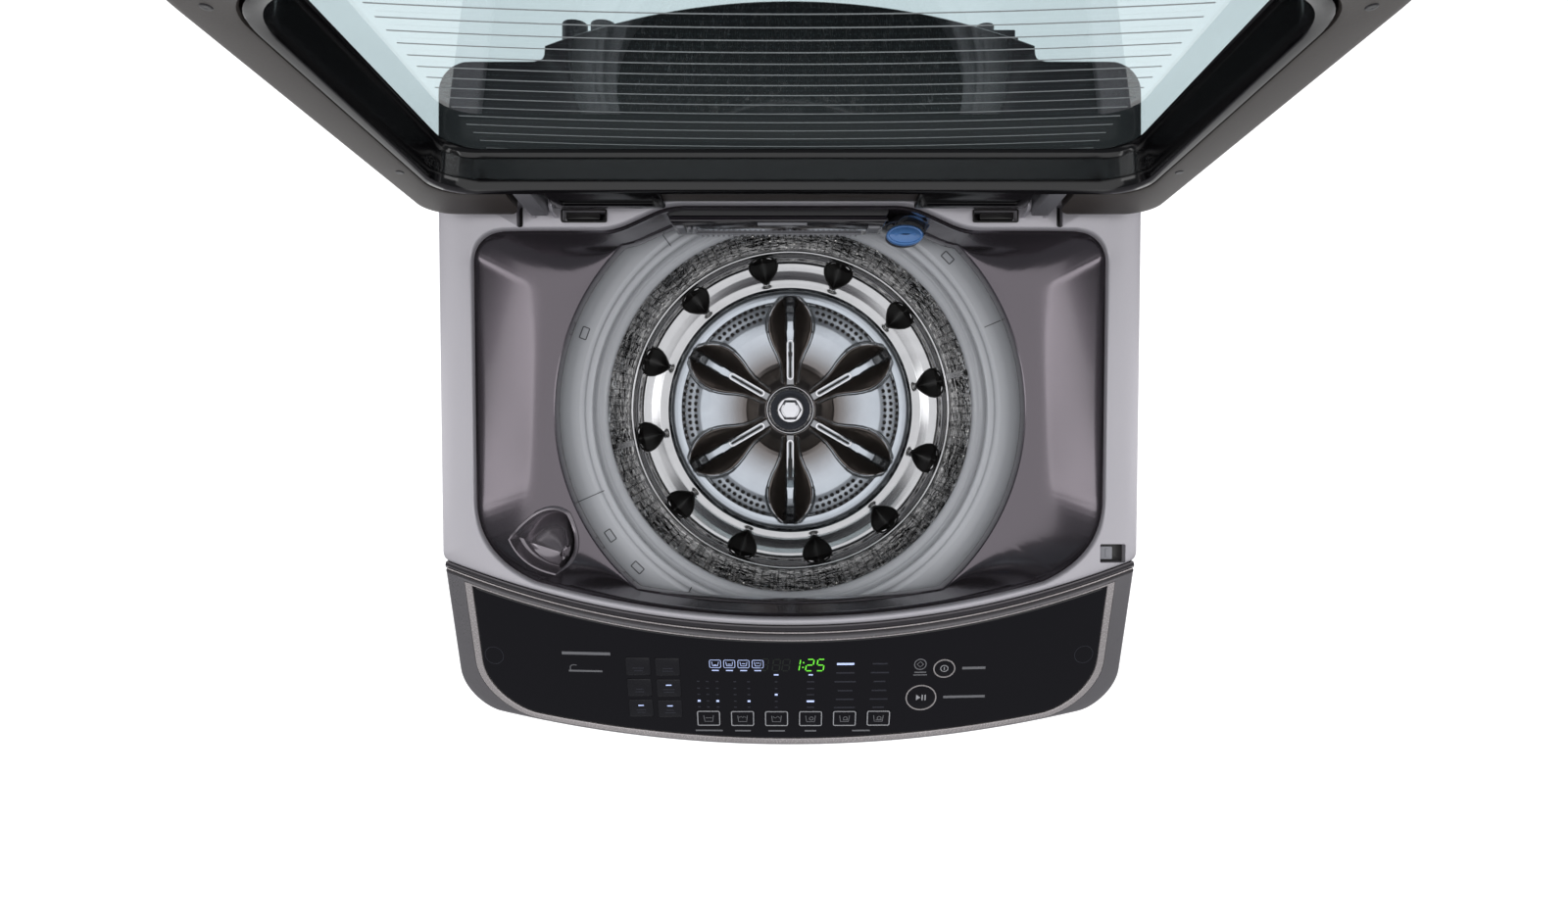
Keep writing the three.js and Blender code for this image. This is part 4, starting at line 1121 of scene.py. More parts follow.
def keys(found):
    for k in range(6):
        key = found[f"course_key_{k + 1}"]
        outline = key.outline
        key.made(slab(outline, KEY_TOP - 3.9, KEY_TOP, 0.3), "_cap", GLOSS, "key_plastic", (key.name,))
        rim = stroke(grown(outline, -1.2), 0.9, MARK, closed=True)
        key.made(marks(rim), "_outline", PRINT_BRIGHT, "key_plastic")
        key.made(marks(basin_icon(k)), "_icon", PRINT, "key_plastic")
    for k in range(6):
        key = found[f"option_key_{k + 1}"]
        outline = key.outline
        key.made(slab(outline, KEY_TOP - 3.9, KEY_TOP, 0.3), "_cap", KEY_FACE, "key_plastic", (key.name,))
        words = [stroke([(-w, y), (w, y)], 1.0, MARK) for w, y in ((5.5 - k % 3, -1.6), (4 + k % 2, -4.6))]
        key.made(marks(*words), "_words", PRINT_FAINT, "key_plastic")
        if k in (3, 4, 5):
            light = stroke([(-2.6, 3.4), (2.6, 3.4)], 1.0, MARK)
            key.made(marks(light), "_light", WHITE_LIGHT, "key_plastic")
    for name, radius in (("power_key", 10.6), ("start_key", 14.9)):
        key = found[name]
        key.made(slab(key.outline, KEY_TOP - 3.9, KEY_TOP, 0.3), "_cap", GLOSS, "key_plastic", (name,))
        rim = stroke(ring(radius - 0.9, count=64), 1.1, 0.5, closed=True)
        key.made(marks(rim), "_ring", TRIM, "key_plastic")
        if name == "power_key":
            icon = stroke(ring(3.4, count=28), 0.7, MARK, closed=True)
            icon = icon + stroke([(0, -1.7), (0, 1.7)], 0.8, MARK)
        else:
            icon = slab([(-4.6, -3.2), (-0.6, 0), (-4.6, 3.2)], 0, MARK, 0.05)
            for x in (1.2, 4):
                icon = icon + stroke([(x, -3.2), (x, 3.2)], 1.1, MARK)
        key.made(marks(icon), "_icon", PRINT_BRIGHT, "key_plastic")


SEGMENTS = {
    "a": ((0.12, 2), (0.88, 2)), "b": ((1, 1.9), (1, 1.1)), "c": ((1, 0.9), (1, 0.1)),
    "d": ((0.12, 0), (0.88, 0)), "e": ((0, 0.9), (0, 0.1)), "f": ((0, 1.9), (0, 1.1)),
    "g": ((0.12, 1), (0.88, 1)),
}
DIGITS = {"1": "bc", "2": "abged", "5": "afgcd", "8": "abcdefg"}


def digit(figure, x, y, width=6.4, height=12.0):
    """A slanted seven-segment figure with its lower left corner at x, y."""
    made = None
    for part in DIGITS[figure]:
        (x0, y0), (x1, y1) = SEGMENTS[part]
        ends = [(x + u * width + v * height * 0.07, y + v * height / 2) for u, v in ((x0, y0), (x1, y1))]
        line = stroke(ends, 1.0, 0.12)
        made = line if made is None else made + line
    return made


def flat_marks(name, strokes, finish):
    """Marks of one finish on the panel's face."""
    shape = sum(strokes[1:], strokes[0]).over(console_height).shifted(z=0.02)
    piece(name, shape, "cabinet", finish)


def dash(x, y, length, width=1.4):
    return stroke([(x - length / 2, y), (x + length / 2, y)], width, 0.12)


def panel_marks():
    y0 = -242.8
    green = [digit("1", 2.0, y0), digit("2", 14.5, y0), digit("5", 24.5, y0)]
    green += [dash(12.2 + k * 0.5, y0 + 3.6 + 5 * k, 1.3, 1.3) for k in (0, 1)]
    flat_marks("clock_figures", green, GREEN_LIGHT)
    ghosts = [digit("8", x, y0 + rise) for x, rise in ((-16.5, 0), (-7.5, 0), (-27.5, 0.5))]
    flat_marks("clock_ghosts", ghosts, GREEN_GHOST)

    icons = []
    for k in range(4):
        x, y = -69.4 + 13.2 * k, -235.8
        icons.append(stroke(rounded_rect(10.4, 8.0, 1.4, x, y), 0.42, 0.12, closed=True))
        bowl_line = [(x - 3.2, y + 2), (x - 2.4, y - 2), (x + 2.4, y - 2), (x + 3.2, y + 2)]
        icons.append(stroke(bowl_line, 0.45, 0.12))
        icons.append(dash(x, y + (k - 1.5) * 0.7, 2.4 + 0.4 * k, 0.45))
        icons.append(dash(x, y - 6.9, 6.4, 0.9))
    rows = [-254.5, -261.8, -268.4, -275.6, -282.2]
    columns = [-85.9, -77.5, -68.2, -51.6, -38.6, -12.8, 19.5]
    lit_row = {-85.9: 3, -68.2: 3, -38.6: 3, -12.8: 2, 19.5: 3}
    dim = []
    for x in columns:
        wide = 7.0 if x > 0 else 2.6
        for k, y in enumerate(rows):
            target = icons if lit_row.get(x) == k else dim
            target.append(dash(x, y, wide, 1.9 if target is icons else 1.3))
    icons += [dash(-12.7, -247.1, 4.4, 1.2), dash(19.5, -247.1, 4.0, 1.2)]
    course_rows = [-235.8, -245.2, -254.6, -264.2, -273.6, -282.6]
    for k, y in enumerate(course_rows):
        if k == 0:
            icons.append(dash(51.8, y, 16, 2.0))
        else:
            dim.append(dash(51.8, y, 14 + 3 * (k % 3), 1.5))
        dim.append(dash(84, y, 11 + 3 * ((k + 1) % 3), 1.5))
    flat_marks("lit_marks", icons, WHITE_LIGHT)
    flat_marks("dim_marks", dim, PRINT_FAINT)

    words = [dash(-190, -227, 46, 3.0), dash(-192, -245.5, 32, 1.8)]
    words += [dash(172.4, -241.8, 22, 2.6), dash(165.4, -272.4, 40, 2.6)]
    course_words = ((-77.5, 26), (-45.1, 15), (-12.7, 16), (19.7, 11), (68.3, 17))
    words += [dash(x, -308.4, w, 1.6) for x, w in course_words]
    words.append(stroke(bow((-206, -245), (-208, -238), (-200, -239.5), 8), 0.8, 0.12))
    flat_marks("caption_marks", words, PRINT)
    badge = [stroke(ring(5.4, 121.6, -237, 30), 0.9, 0.12, closed=True)]
    badge.append(stroke([(121.6, -234), (124.6, -237), (121.6, -240), (118.6, -237)], 0.8, 0.12, closed=True))
    badge += [dash(122, -245.4, 11, 1.2), dash(122, -248.2, 13, 1.0)]
    flat_marks("badge_marks", badge, PRINT)
    plug_places = ((-284.7 + 6, -231.5), (282.9 - 6, -230.5))
    plugs = [stroke(ring(8.8, x, y, 48), 0.5, 0.1, closed=True) for x, y in plug_places]
    flat_marks("corner_plugs", plugs, PRINT_FAINT)


def console():
    piece("console_moulding", console_body(), "cabinet", CHEEK, ("console_housing",))
    outer_edge = ((0.15, -4), (0.15, 0), (0.5, 0.35), (0.8, 0.4))
    inner_edge = ((-0.6, 0.4), (-0.2, 0.2), (0, -0.4), (0, -4))
    rows = [on_console(console_plan(**inset(TRIM_OUT, by)), lift) for by, lift in outer_edge]
    rows += [on_console(console_plan(**inset(TRIM_IN, by)), lift) for by, lift in inner_edge]
    piece("trim_strip", skin(rows, loop=True), "cabinet", TRIM, ("panel_trim",))
    found = key_set()
    openings = [slab(grown(key.outline, 0.22), -7, 3, 0.05).moved(key.place) for key in found.values()]
    panel = carved(gloss_panel(), *openings)
    piece("gloss_panel", panel, "cabinet", GLOSS, ("control_panel",))
    keys(found)
    panel_marks()
    frame["nodes"]["control_board"].data.materials.clear()
    frame["nodes"]["control_board"].data.materials.append(BOARD)


# ---- Lid --------------------------------------------------------------------------------------
def lid_plan(by, corner=30, rear=-13.6, fall=1.0):
    """The lid in its own plan, hinge at y = 0, front edge at -y; its rear edge moves in by fall."""
    w = HALF_WIDTH - by
    r = SEAM_R - 2 - by
    centre = SEAM_Y - HINGE_Y
    rear = rear - by * fall
    rear_corner = max(corner - 6, 2)
    turn = math.degrees(math.asin((w - corner) / r))
    end_y = arc_y(w - corner, r, centre)
    slope = math.tan(math.radians(turn)) * corner
    return np.vstack([
        bow((-w, end_y + slope + corner * 0.9), (-w, end_y + slope), (-w + corner, end_y), 12)[:-1],
        arc((0, centre), r, -90 - turn, -90 + turn, 60),
        bow((w - corner, end_y), (w, end_y + slope), (w, end_y + slope + corner * 0.9), 12)[1:],
        arc((w - rear_corner, rear - rear_corner), rear_corner, 0, 90, 12),
        arc((-w + rear_corner, rear - rear_corner), rear_corner, 90, 180, 12),
    ])


def lid_ring(profile, *plan):
    return skin([level(lid_plan(by, *plan), z) for by, z in profile], loop=True)


def lid():
    rim_profile = [
        (0, 20), (0, -6), (0.8, -9.6), (3.2, -11.6), (6, -12), (26, -12), (28.4, -11.2), (29.4, -9.4),
        (29.4, 18), (9.7, 21), (9.7, 25.4), (8.6, 26), (3.4, 26), (0.9, 24.2),
    ]
    notch = np.vstack([
        [(232, -70), (232, -22)],
        bow((233, -18), (236, -6), (262, 8), 8),
        bow((-262, 8), (-236, -6), (-233, -18), 8),
        [(-232, -22), (-232, -70)],
    ])
    rim = carved(lid_ring(rim_profile, 30, -1, 1.72), slab(grown(notch, 0), -30, 40, 0.1))
    piece("lid_rim", rim.moved(LID), "lid", LID_RIM, ("lid_frame",))
    frame_profile = [
        (29.5, -9), (29.8, -11.4), (30.6, -12), (34, -12), (37, -10.6), (38.8, -7), (39.4, -2), (39.8, 13),
        (40.6, 17.4), (42.4, 19.8), (44, 20.4), (44, 20.9), (29.5, 20.9),
    ]
    piece("lid_inner_frame", lid_ring(frame_profile, 34, -22).moved(LID), "lid", REAR_GLOSS)
    glass_profile = [(10.4, 21.4), (10, 22), (10, 25.2), (10.5, 25.8)]
    pane = skin([level(lid_plan(by), z) for by, z in glass_profile], capped=True)
    piece("lid_pane", pane.moved(LID), "lid", GLASS, ("lid_glass",))
    band = lid_ring([(10.6, 21.2), (10.6, 20.95), (33, 20.95), (33, 21.2)])
    piece("pane_border", band.moved(LID), "lid", GLOSS)

    sag, half = 11, 243
    x = np.linspace(-half, half, 41)
    line = stroke(np.column_stack([x, -sag * (x / half) ** 2 + sag]), 1.1, 0.12)
    places = [(0, -66 - 13.4 * k, 21.24) for k in range(15)]
    lines = repeated(line, places, finish=GLASS_PRINT)
    piece("pane_lines", lines.moved(LID), "lid", GLASS_PRINT)

    boxes = Shape(np.zeros((0, 3)), [])
    for s in (-1, 1):
        xs = sorted((s * 108, s * 205))
        shell = brick(xs, (-52.5, -5), (-6.3, 17.5), 3, 1.2)
        dent = brick((xs[0] + 9, xs[1] - 9), (-27, -12), (-14, -3.5), 2, 0.6)
        boxes = boxes + carved(shell, dent)
    piece("hinge_boxes", boxes.moved(LID), "lid", REAR_GLOSS)
    middle = brick((-109, 109), (-52.5, -14), (-3.5, 17), 2, 1.4)
    for s in (-1, 1):
        middle = middle + brick(sorted((s * 204, s * 233)), (-53, -34), (-2, 17), 1, 0.6)
    piece("hinge_backing", middle.moved(LID), "lid", LID_RIM)
    bumper = lathed(eased([(0, -12.6), (2.6, -12.6), (3.6, -11.6), (3.6, -10.5), (0, -10.5)], 0.4), 24)
    dots = repeated(bumper, [(s * 296, y, 0) for s in (-1, 1) for y in (-96, -300)], finish=DARK)
    piece("lid_bumpers", dots.moved(LID), "lid", DARK)
    for side, s in (("left", -1), ("right", 1)):
        barrel = slab(ring(6.9, count=40), -7.6, 7.6, 0.8).moved(Matrix.Rotation(math.pi / 2, 4, "Y"))
        pin = slab(ring(3.9, count=24), -12.4, 12.4, 0.6).moved(Matrix.Rotation(math.pi / 2, 4, "Y"))
        strap = brick((-7.6, 7.6), (-50, -1), (-11.4, 4.5), 1.6, 1.2)
        arm = (barrel + strap + pin).shifted(x=s * 219)
        piece(f"hinge_strap_{side}", arm.moved(LID), "lid", STRAP, (f"hinge_arm_{side}",))


# ---- Tub and drum -----------------------------------------------------------------------------
def tub_ring():
    top = 880
    profile = eased([
        (199.6, top - 4), (200.6, top - 1.4), (203, top - 0.2), (206.6, top - 0.1), (208.4, top - 1.4),
        (211, top - 1.2), (213, top - 0.1), (222, top - 0.2), (240, top - 1.8), (262, top - 3.8),
        (286, top - 6), (288, top - 9), (288, 852.3), (284.3, 852.3), (284.3, 868.4), (212, top - 5),
        (199.6, top - 6),
    ], 0.8)
    piece("tub_ring", lathed(profile, 288), "tub", TUB, ("tub_cover",))

    def height(x, y):
        return np.interp(np.hypot(x, y), [213, 222, 240, 262, 286], top - np.array([0.1, 0.2, 1.8, 3.8, 6]))

    lines = []
    for angle, r0, r1 in ((203.5, 205, 244), (241, 205, 250), (126, 205, 240), (23, 214, 232)):
        way = np.array([math.cos(math.radians(angle)), math.sin(math.radians(angle))])
        lines.append(stroke([way * r for r in np.linspace(r0, r1, 8)], 0.9, 0.25).over(height))
    for angle in (159.5, 215, 226, 44):
        turn = Matrix.Rotation(math.radians(angle), 4, "Z") @ Matrix.Translation((222, 0, 0))
        clip = stroke(rounded_rect(7, 12, 0.8), 1.1, 0.5, closed=True).moved(turn)
        lines.append(clip.over(height))
    # The lines and clip outlines are raised strips coloured dark: painted shade standing for grooves.
    piece("tub_ring_marks", sum(lines[1:], lines[0]).shifted(z=-0.1), "tub", GROOVE_SHADE)
    softened("outer_tub", "outer_tub_moulding", "tub", TUB, 1.0)


def weight_ring():
    z0, z1 = span("balance_ring")[0][2], span("balance_ring")[1][2]
    profile = eased([
        (252, z0), (252, z1), (206, z1), (199, z1 - 0.4), (197.6, z1 - 2.4), (194.6, z1 - 2.6),
        (193, z1 - 3.4), (190.8, z1 - 5.4), (190.2, z1 - 8), (191.6, z1 - 14), (196.4, z1 - 36), (201, z0),
    ], 1.2)
    piece("weight_ring", lathed(profile, 288), "basket", TUB, ("balance_ring",))


def drum_wall():
    """Sheet with oval holes: one cell repeated over a flat grid, then rolled round the axis."""
    z0, z1 = span("basket_wall")[0][2], span("basket_wall")[1][2]
    around, up = 132, 28
    wide, high = 2 * math.pi * WALL_R / around, (z1 - z0) / up
    hole = [(1.9 * math.cos(t), 2.9 * math.sin(t)) for t in np.radians(np.arange(6) * 60)]
    w, h = wide / 2, high / 2
    rim = [(w, 0), (w, h), (-w, h), (-w, 0), (-w, -h), (w, -h)]
    points = [(x, y, 0) for x, y in rim + hole]
    faces = [(k, (k + 1) % 6, 6 + (k + 1) % 6, 6 + k) for k in range(6)]
    places = [((i + 0.5) * wide, (j + 0.5) * high, 0) for i in range(around) for j in range(up)]
    sheet = repeated(Shape(points, faces), places, finish=WALL)
    x, y = sheet.points[:, 0], sheet.points[:, 1]
    a = x / WALL_R
    r = WALL_R + 0.1
    rolled = np.column_stack([r * np.cos(a), r * np.sin(a), z0 + y])
    wall = thickened(Shape(rolled, sheet.faces), 0.8)
    piece("drum_wall", wall, "basket", WALL, ("basket_wall",), crease=50)
    seam = []
    for angle in (12.0, 192.0):
        turn = Matrix.Rotation(math.radians(angle), 4, "Z")
        seam.append(brick((WALL_R - 1.2, WALL_R + 1.3), (-4.5, 4.5), (z0 + 2, z1 - 2), 0.8, 0.4).moved(turn))
    for angle in (252.6, 59.0, 146, 285, 330):
        turn = Matrix.Rotation(math.radians(angle), 4, "Z")
        seam.append(brick((WALL_R - 2.2, WALL_R), (-1.6, 1.6), (498, 520), 0.6, 0.4).moved(turn))
    piece("drum_seams", sum(seam[1:], seam[0]), "basket", STEEL)


def floor_profile(r):
    """Height of the basket floor's upper side over its radius."""
    steps = [
        (188.9, 429.6), (190, 432), (191.6, 433), (199, 434), (203, 435.2), (209, 438), (216, 441.2),
        (223, 443.8), (227.6, 445), (228.6, 446.6), (229.8, 447.4), (231.4, 445.8), (234.6, 445.4),
        (235.6, 447.4), (237.8, 447.6), (239, 446), (241.6, 446.2), (242.6, 449.4), (245.6, 450.4),
        (246.4, 451.6), (249.2, 451.8),
    ]
    return np.interp(r, [p[0] for p in steps], [p[1] for p in steps])


POCKET_ANGLES = np.radians(10.7 + 30 * np.arange(12))


def drum_floor():
    radii = np.concatenate([np.linspace(188.9, 229, 34), np.linspace(229.6, 249.2, 30)])
    count = 576
    a = 2 * math.pi * np.arange(count) / count
    near = np.abs((a[:, None] - POCKET_ANGLES + math.pi) % (2 * math.pi) - math.pi).min(1)
    rows = []
    for r in radii:
        tip = np.exp(-((near * r / 4.6) ** 2) - ((r - 198.5) / 3.4) ** 2)
        edge = np.exp(-((near * r / 21) ** 4) - ((r - 231) / 5) ** 2)
        z = floor_profile(r) - 1.6 * tip - 0.8 * edge
        rows.append(np.column_stack([r * np.cos(a), r * np.sin(a), z]))
    under = [(252, 452), (252, 443), (230, 442.2), (194, 428.4), (189, 413.5), (45, 413.5), (45, 399),
             (16.3, 399), (16.3, 417), (188.6, 417), (188.7, 426)]
    rows += [np.column_stack([r * np.cos(a), r * np.sin(a), np.full(count, z)]) for r, z in under]
    piece("drum_floor", skin(rows, loop=True), "basket", STEEL, ("basket_floor",))

    half = np.array([
        (198.6, 0), (204, 7.6), (210, 14.6), (217, 20.4), (224, 23), (231, 22), (237, 17), (240.6, 8),
        (241.4, 0),
    ])
    outline = np.vstack([half, half[-2:0:-1] * (1, -1)])
    rows = []
    steps = (
        (1.02, 1.02, -3), (1.02, 1.02, 1.0), (1.0, 1.0, 1.5), (0.94, 0.94, 1.5), (0.88, 0.88, 0.4),
        (0.86, 0.6, 1.6), (0.86, 0.3, 3.2), (0.86, 0.02, 4.6),
    )
    for length, width, lift in steps:
        plan = np.column_stack([222 + (outline[:, 0] - 222) * length, outline[:, 1] * width])
        rows.append(level(plan, floor_profile(np.clip(plan[:, 0], 190, 249)) + lift))
    one = skin(rows, capped=True)
    turned = None
    for angle in POCKET_ANGLES:
        made = one.moved(Matrix.Rotation(angle, 4, "Z"))
        turned = made if turned is None else turned + made
    piece("floor_pockets", turned, "basket", POCKET, crease=24)


PETALS = np.radians(90 + 60 * np.arange(6))


def petal_half_width(r):
    return np.interp(
        r,
        [38, 46, 60, 74, 88, 100, 112, 124, 134, 146, 156, 166, 174, 177.5],
        [9, 12.5, 14, 16.5, 22, 28, 32.6, 35.4, 35.8, 33.6, 29.6, 22.5, 14.5, 9],
    )


def plate_surface(x, y):
    """Height over the plate's underside and a painted-shade value for each point of the wash plate: painted
    shade near the hub, on the petals' sides and at the ridge tops' ends, with a painted highlight on the edge
    beads.
    """
    r = np.hypot(x, y)
    base = np.interp(
        r,
        [0, 36, 40, 50, 60, 68, 76, 84, 94, 108, 124, 140, 150, 166, 168.5, 171, 175, 181, 186, 188.4],
        [17, 17, 16.4, 14.0, 10.8, 8.6, 7.9, 8.1, 9.0, 10.9, 12.7, 13.0, 12.9, 13.2, 12.6, 12.8, 13.2,
         13.6, 13.7, 11.8],
    )
    # Painted shade, darkest near the hub and gone by 132 mm.
    shadow = np.interp(r, [40, 56, 68, 82, 96, 112, 132], [0.8, 0.9, 0.92, 0.72, 0.4, 0.15, 0.0])
    angle = np.arctan2(y, x)
    off = (angle[:, None] - PETALS + math.pi / 6) % (math.pi / 3)
    off = np.abs(off[:, 0] - math.pi / 6)
    lateral, along = r * np.sin(off), r * np.cos(off)
    width = petal_half_width(along)
    v = lateral / width
    ridge = np.interp(
        along,
        [38, 48, 64, 90, 120, 146, 160, 168, 174, 178],
        [0.5, 3.5, 8, 14.5, 19.5, 20.5, 18.5, 13, 5, 0],
    )
    inside = (v < 1) & (along > 38) & (along < 177.5)
    core = 5.2 / width
    fall = np.clip((1 - v) / np.maximum(1 - core, 0.05), 0, 1)
    bead = 1.2 * np.exp(-(((v - 1) * width / 1.7) ** 2)) * ((along > 42) & (along < 176))
    height = ridge * fall**1.9
    slots = -0.9 * np.exp(-(((np.abs(lateral) - 8.2) / 0.9) ** 2)) * ((along > 44) & (along < 66))
    surface = base + np.where(inside, height, 0) + bead + slots
    # Painted shade on the petals' sides, less towards their outer ends.
    side = np.clip((v - core * 1.15) / 0.06, 0, 1) * np.clip((1 - v) / 0.05, 0, 1)
    bright = np.clip((along - 170) / 6, 0, 1)
    dark = np.where(inside, side * (1 - 0.5 * bright), 0)
    near_ridge = inside & (v <= core * 1.15)
    # Painted shade along the ridge tops, darker at both ends.
    ridge_shade = np.interp(along, [44, 60, 110, 160, 172], [0.5, 0.3, 0.0, 0.05, 0.5])
    shadow = np.where(near_ridge, ridge_shade, shadow)
    # The edge beads get a painted highlight by taking painted shade away.
    shadow = np.maximum(shadow, dark * 0.93) - bead * 0.4
    return np.minimum(surface, 33), np.clip(shadow, 0, 1)


def wash_plate():
    radii = np.concatenate([[30], np.linspace(38, 176, 100), np.linspace(177, 188.4, 10)])
    count = 720
    a = 2 * math.pi * np.arange(count) / count
    rows, shades = [], []
    for r in radii:
        x, y = r * np.cos(a), r * np.sin(a)
        height, shade = plate_surface(x, y)
        rows.append(np.column_stack([x, y, PLATE_Z + height]))
        shades.append(shade)
    for r, z in ((188.5, 6), (188, 3.4), (180, 2), (176, 6.2), (60, 7.5), (30, 10)):
        rows.append(np.column_stack([r * np.cos(a), r * np.sin(a), np.full(count, PLATE_Z + z)]))
        shades.append(np.zeros(count))
    plate = skin(rows, loop=True)
    shades = {"shadow": np.concatenate(shades)}
    piece("wash_plate", plate, "agitator", PLATE, ("pulsator",), 40, shades)

    def heights(x, y):
        return PLATE_Z + plate_surface(x, y)[0]

    # The slots inside the loops are flat near-black inlays: painted shade in place of openings.
    for name, grow, lift, finish in (("plate_loops", 0, 0.9, CHROME), ("plate_slots", -2.6, 0.25, POCKET)):
        ends = [arc((52, 0), 4.4 + grow, 90, 270, 9), arc((103, 0), 4.4 + grow, -90, 90, 9)]
        outline = np.vstack(ends)
        one = stroke(outline, 1.8, lift, closed=True) if grow == 0 else slab(outline, 0, lift, 0.05)
        around = [one.moved(Matrix.Rotation(turn, 4, "Z")).over(heights) for turn in PETALS]
        piece(name, sum(around[1:], around[0]), "agitator", finish)

    places = []
    for patch in range(6):
        middle = math.radians(60 * patch)
        for r, count in ((166.4, 10), (157.2, 9), (147.8, 7)):
            for k in range(count):
                t = middle + (k - (count - 1) / 2) * 9.9 / r
                places.append((r * math.cos(t), r * math.sin(t)))
    places = np.array(places)
    heights, _ = plate_surface(places[:, 0], places[:, 1])
    places = np.column_stack([places, PLATE_Z + heights])
    lip = lathed([(2.0, -0.6), (2.0, 0.35), (2.5, 0.75), (3.1, 0.5), (3.5, -0.3)], 12)
    piece("plate_hole_lips", repeated(lip, places, finish=STEEL), "agitator", STEEL)
    # The holes are near-black discs inside the lips: painted shade in place of openings.
    hole = slab(ring(2.15, count=10), -0.5, 0.2, 0.05)
    piece("plate_holes", repeated(hole, places, finish=POCKET), "agitator", POCKET)


def hub():
    z = span("pulsator_cap")[0][2]
    crown = eased([
        (30, z), (38, z), (38, z + 4.4), (37, z + 6.6), (35.4, z + 7), (34, z + 5.4), (33.4, z + 3),
        (30, z + 2),
    ], 0.7)
    piece("hub_ring", lathed(crown, 120), "agitator", CHROME, ("pulsator_cap",))
    dish = eased([
        (0, z - 0.2), (33.8, z - 0.2), (33.8, z + 2.4), (26, z + 1.8), (20, z + 2.6), (0, z + 2.6),
    ], 0.5)
    piece("hub_dish", lathed(dish, 96), "agitator", HUB_CAST)
    nut = slab(ring(17.5, count=6), z + 2.4, z + 9.4, 1.1)
    washer = lathed(eased([(0, z + 2.4), (20.5, z + 2.4), (20.5, z + 3.4), (19, z + 4), (0, z + 4)], 0.4), 72)
    face = lathed([(0, z + 9.2), (13.4, z + 9.2), (13, z + 9.9), (0, z + 10)], 6)
    piece("hub_nut", nut + washer + face, "agitator", CHROME)


# ---- Cabinet ----------------------------------------------------------------------------------
def cabinet_plan(by=0.0):
    w = CABINET_HALF - by
    r = FRONT_R - 8 - by
    corner, rear_corner = 36, 28 - by
    turn = math.degrees(math.asin((w - corner) / r))
    end_y = arc_y(w - corner, r, FRONT_CENTRE)
    slope = math.tan(math.radians(turn)) * corner
    rear = CABINET_REAR - by
    return np.vstack([
        bow((-w, end_y + corner), (-w, end_y + slope), (-w + corner, end_y), 14)[:-1],
        arc((0, FRONT_CENTRE), r, -90 - turn, -90 + turn, 50),
        bow((w - corner, end_y), (w, end_y + slope), (w, end_y + corner), 14)[1:],
        arc((w - rear_corner, rear - rear_corner), rear_corner, 0, 90, 12),
        arc((-w + rear_corner, rear - rear_corner), rear_corner, 90, 180, 12),
    ])


def cabinet():
    z0, z1 = CABINET_Z
    rows = [level(cabinet_plan(by), z) for by, z in (
        (1, z0), (0.3, z0 + 0.2), (0, z0 + 1), (0, z0 + 18), (1.2, z0 + 20), (1.2, z0 + 23), (0, z0 + 25),
        (0, z1 - 12), (0.9, z1 - 11), (0.9, z1 - 8.6), (0, z1 - 7.6), (0, z1 - 0.8), (0.4, z1), (1, z1),
    )]
    shell = carved(
        skin(rows, loop=True),
        brick((-270, 270), (CABINET_REAR - 20, CABINET_REAR + 5), (100, 850), 8, 0.1),
    )
    piece("cabinet_skin", shell, "cabinet", PAINT, ("cabinet_shell",))
    softened("rear_panel", "service_panel", "cabinet", PAINT, 0.5)
    screw_half = [(0, 0), (4.2, 0), (4.2, 1.2), (3.2, 2.4), (1.4, 2.6), (1.2, 1.8), (0, 1.8)]
    screw = lathed(eased(screw_half, 0.3), 16).moved(Matrix.Rotation(-math.pi / 2, 4, "X"))
    y = span("rear_panel")[0][1] + 0.9
    columns = (-278, -140, 0, 140, 278)
    places = [(x, y, z) for z in (92, 473, 854) for x in columns if z != 473 or abs(x) > 200]
    piece("panel_screws", repeated(screw, places, finish=ZINC), "cabinet", ZINC)
    vent = slab(rounded_rect(30, 3.4, 1.6), 0, 0.6, 0.2).moved(Matrix.Rotation(math.pi / 2, 4, "X"))
    dish_y = span("rear_panel")[1][1] + 0.5
    slots = [(x, dish_y, z) for x in (-120, -84, -48) for z in np.arange(600, 690, 10)]
    piece("panel_vents", repeated(vent, slots, finish=DARK), "cabinet", DARK)
    softened("base_frame", "base_moulding", "cabinet", DARK, 0.8)
    for end in ("front", "rear"):
        for side in ("left", "right"):
            name = f"foot_{end}_{side}"
            low, high = span(name)
            x, y = (low[0] + high[0]) / 2, (low[1] + high[1]) / 2
            pad = eased([
                (0, 0), (22, 0), (23, 2), (23, 9), (21, 11), (13, 11.4), (13, 15.6), (7, 16), (0, 16),
            ], 1.0)
            thread = []
            for k in range(12):
                thread += [(5.2, 16 + k * 2.4), (6.0, 17.2 + k * 2.4)]
            stud = [(0, 15.9), *thread, (5.2, high[2]), (0, high[2])]
            piece(f"{name}_pad", lathed(pad, 48, x, y), name, FOOT, (name,))
            piece(f"{name}_stud", lathed(stud, 24, x, y), name, ZINC)


def rear_fittings():
    for side, x in (("left", -204), ("right", -177)):
        turn = Matrix.Translation((x, 0, 930)) @ Matrix.Rotation(-math.pi / 2, 4, "X")
        thread = []
        for k in range(8):
            thread += [(11.2, 343 + k * 2.8), (12.0, 344.4 + k * 2.8)]
        stub = [(8, 330), (8, 367.6), (11, 367.8), *thread[::-1], (11.4, 341), (11.4, 330)]
        stub = lathed(stub, 32).moved(turn)
        piece(f"inlet_thread_{side}", stub, "cabinet", DARK)
    softened("inlet_valve", "inlet_valve_body", "cabinet", DARK, 0.5)
    softened("cord_gland", "cord_gland_body", "cabinet", DARK, 0.7)


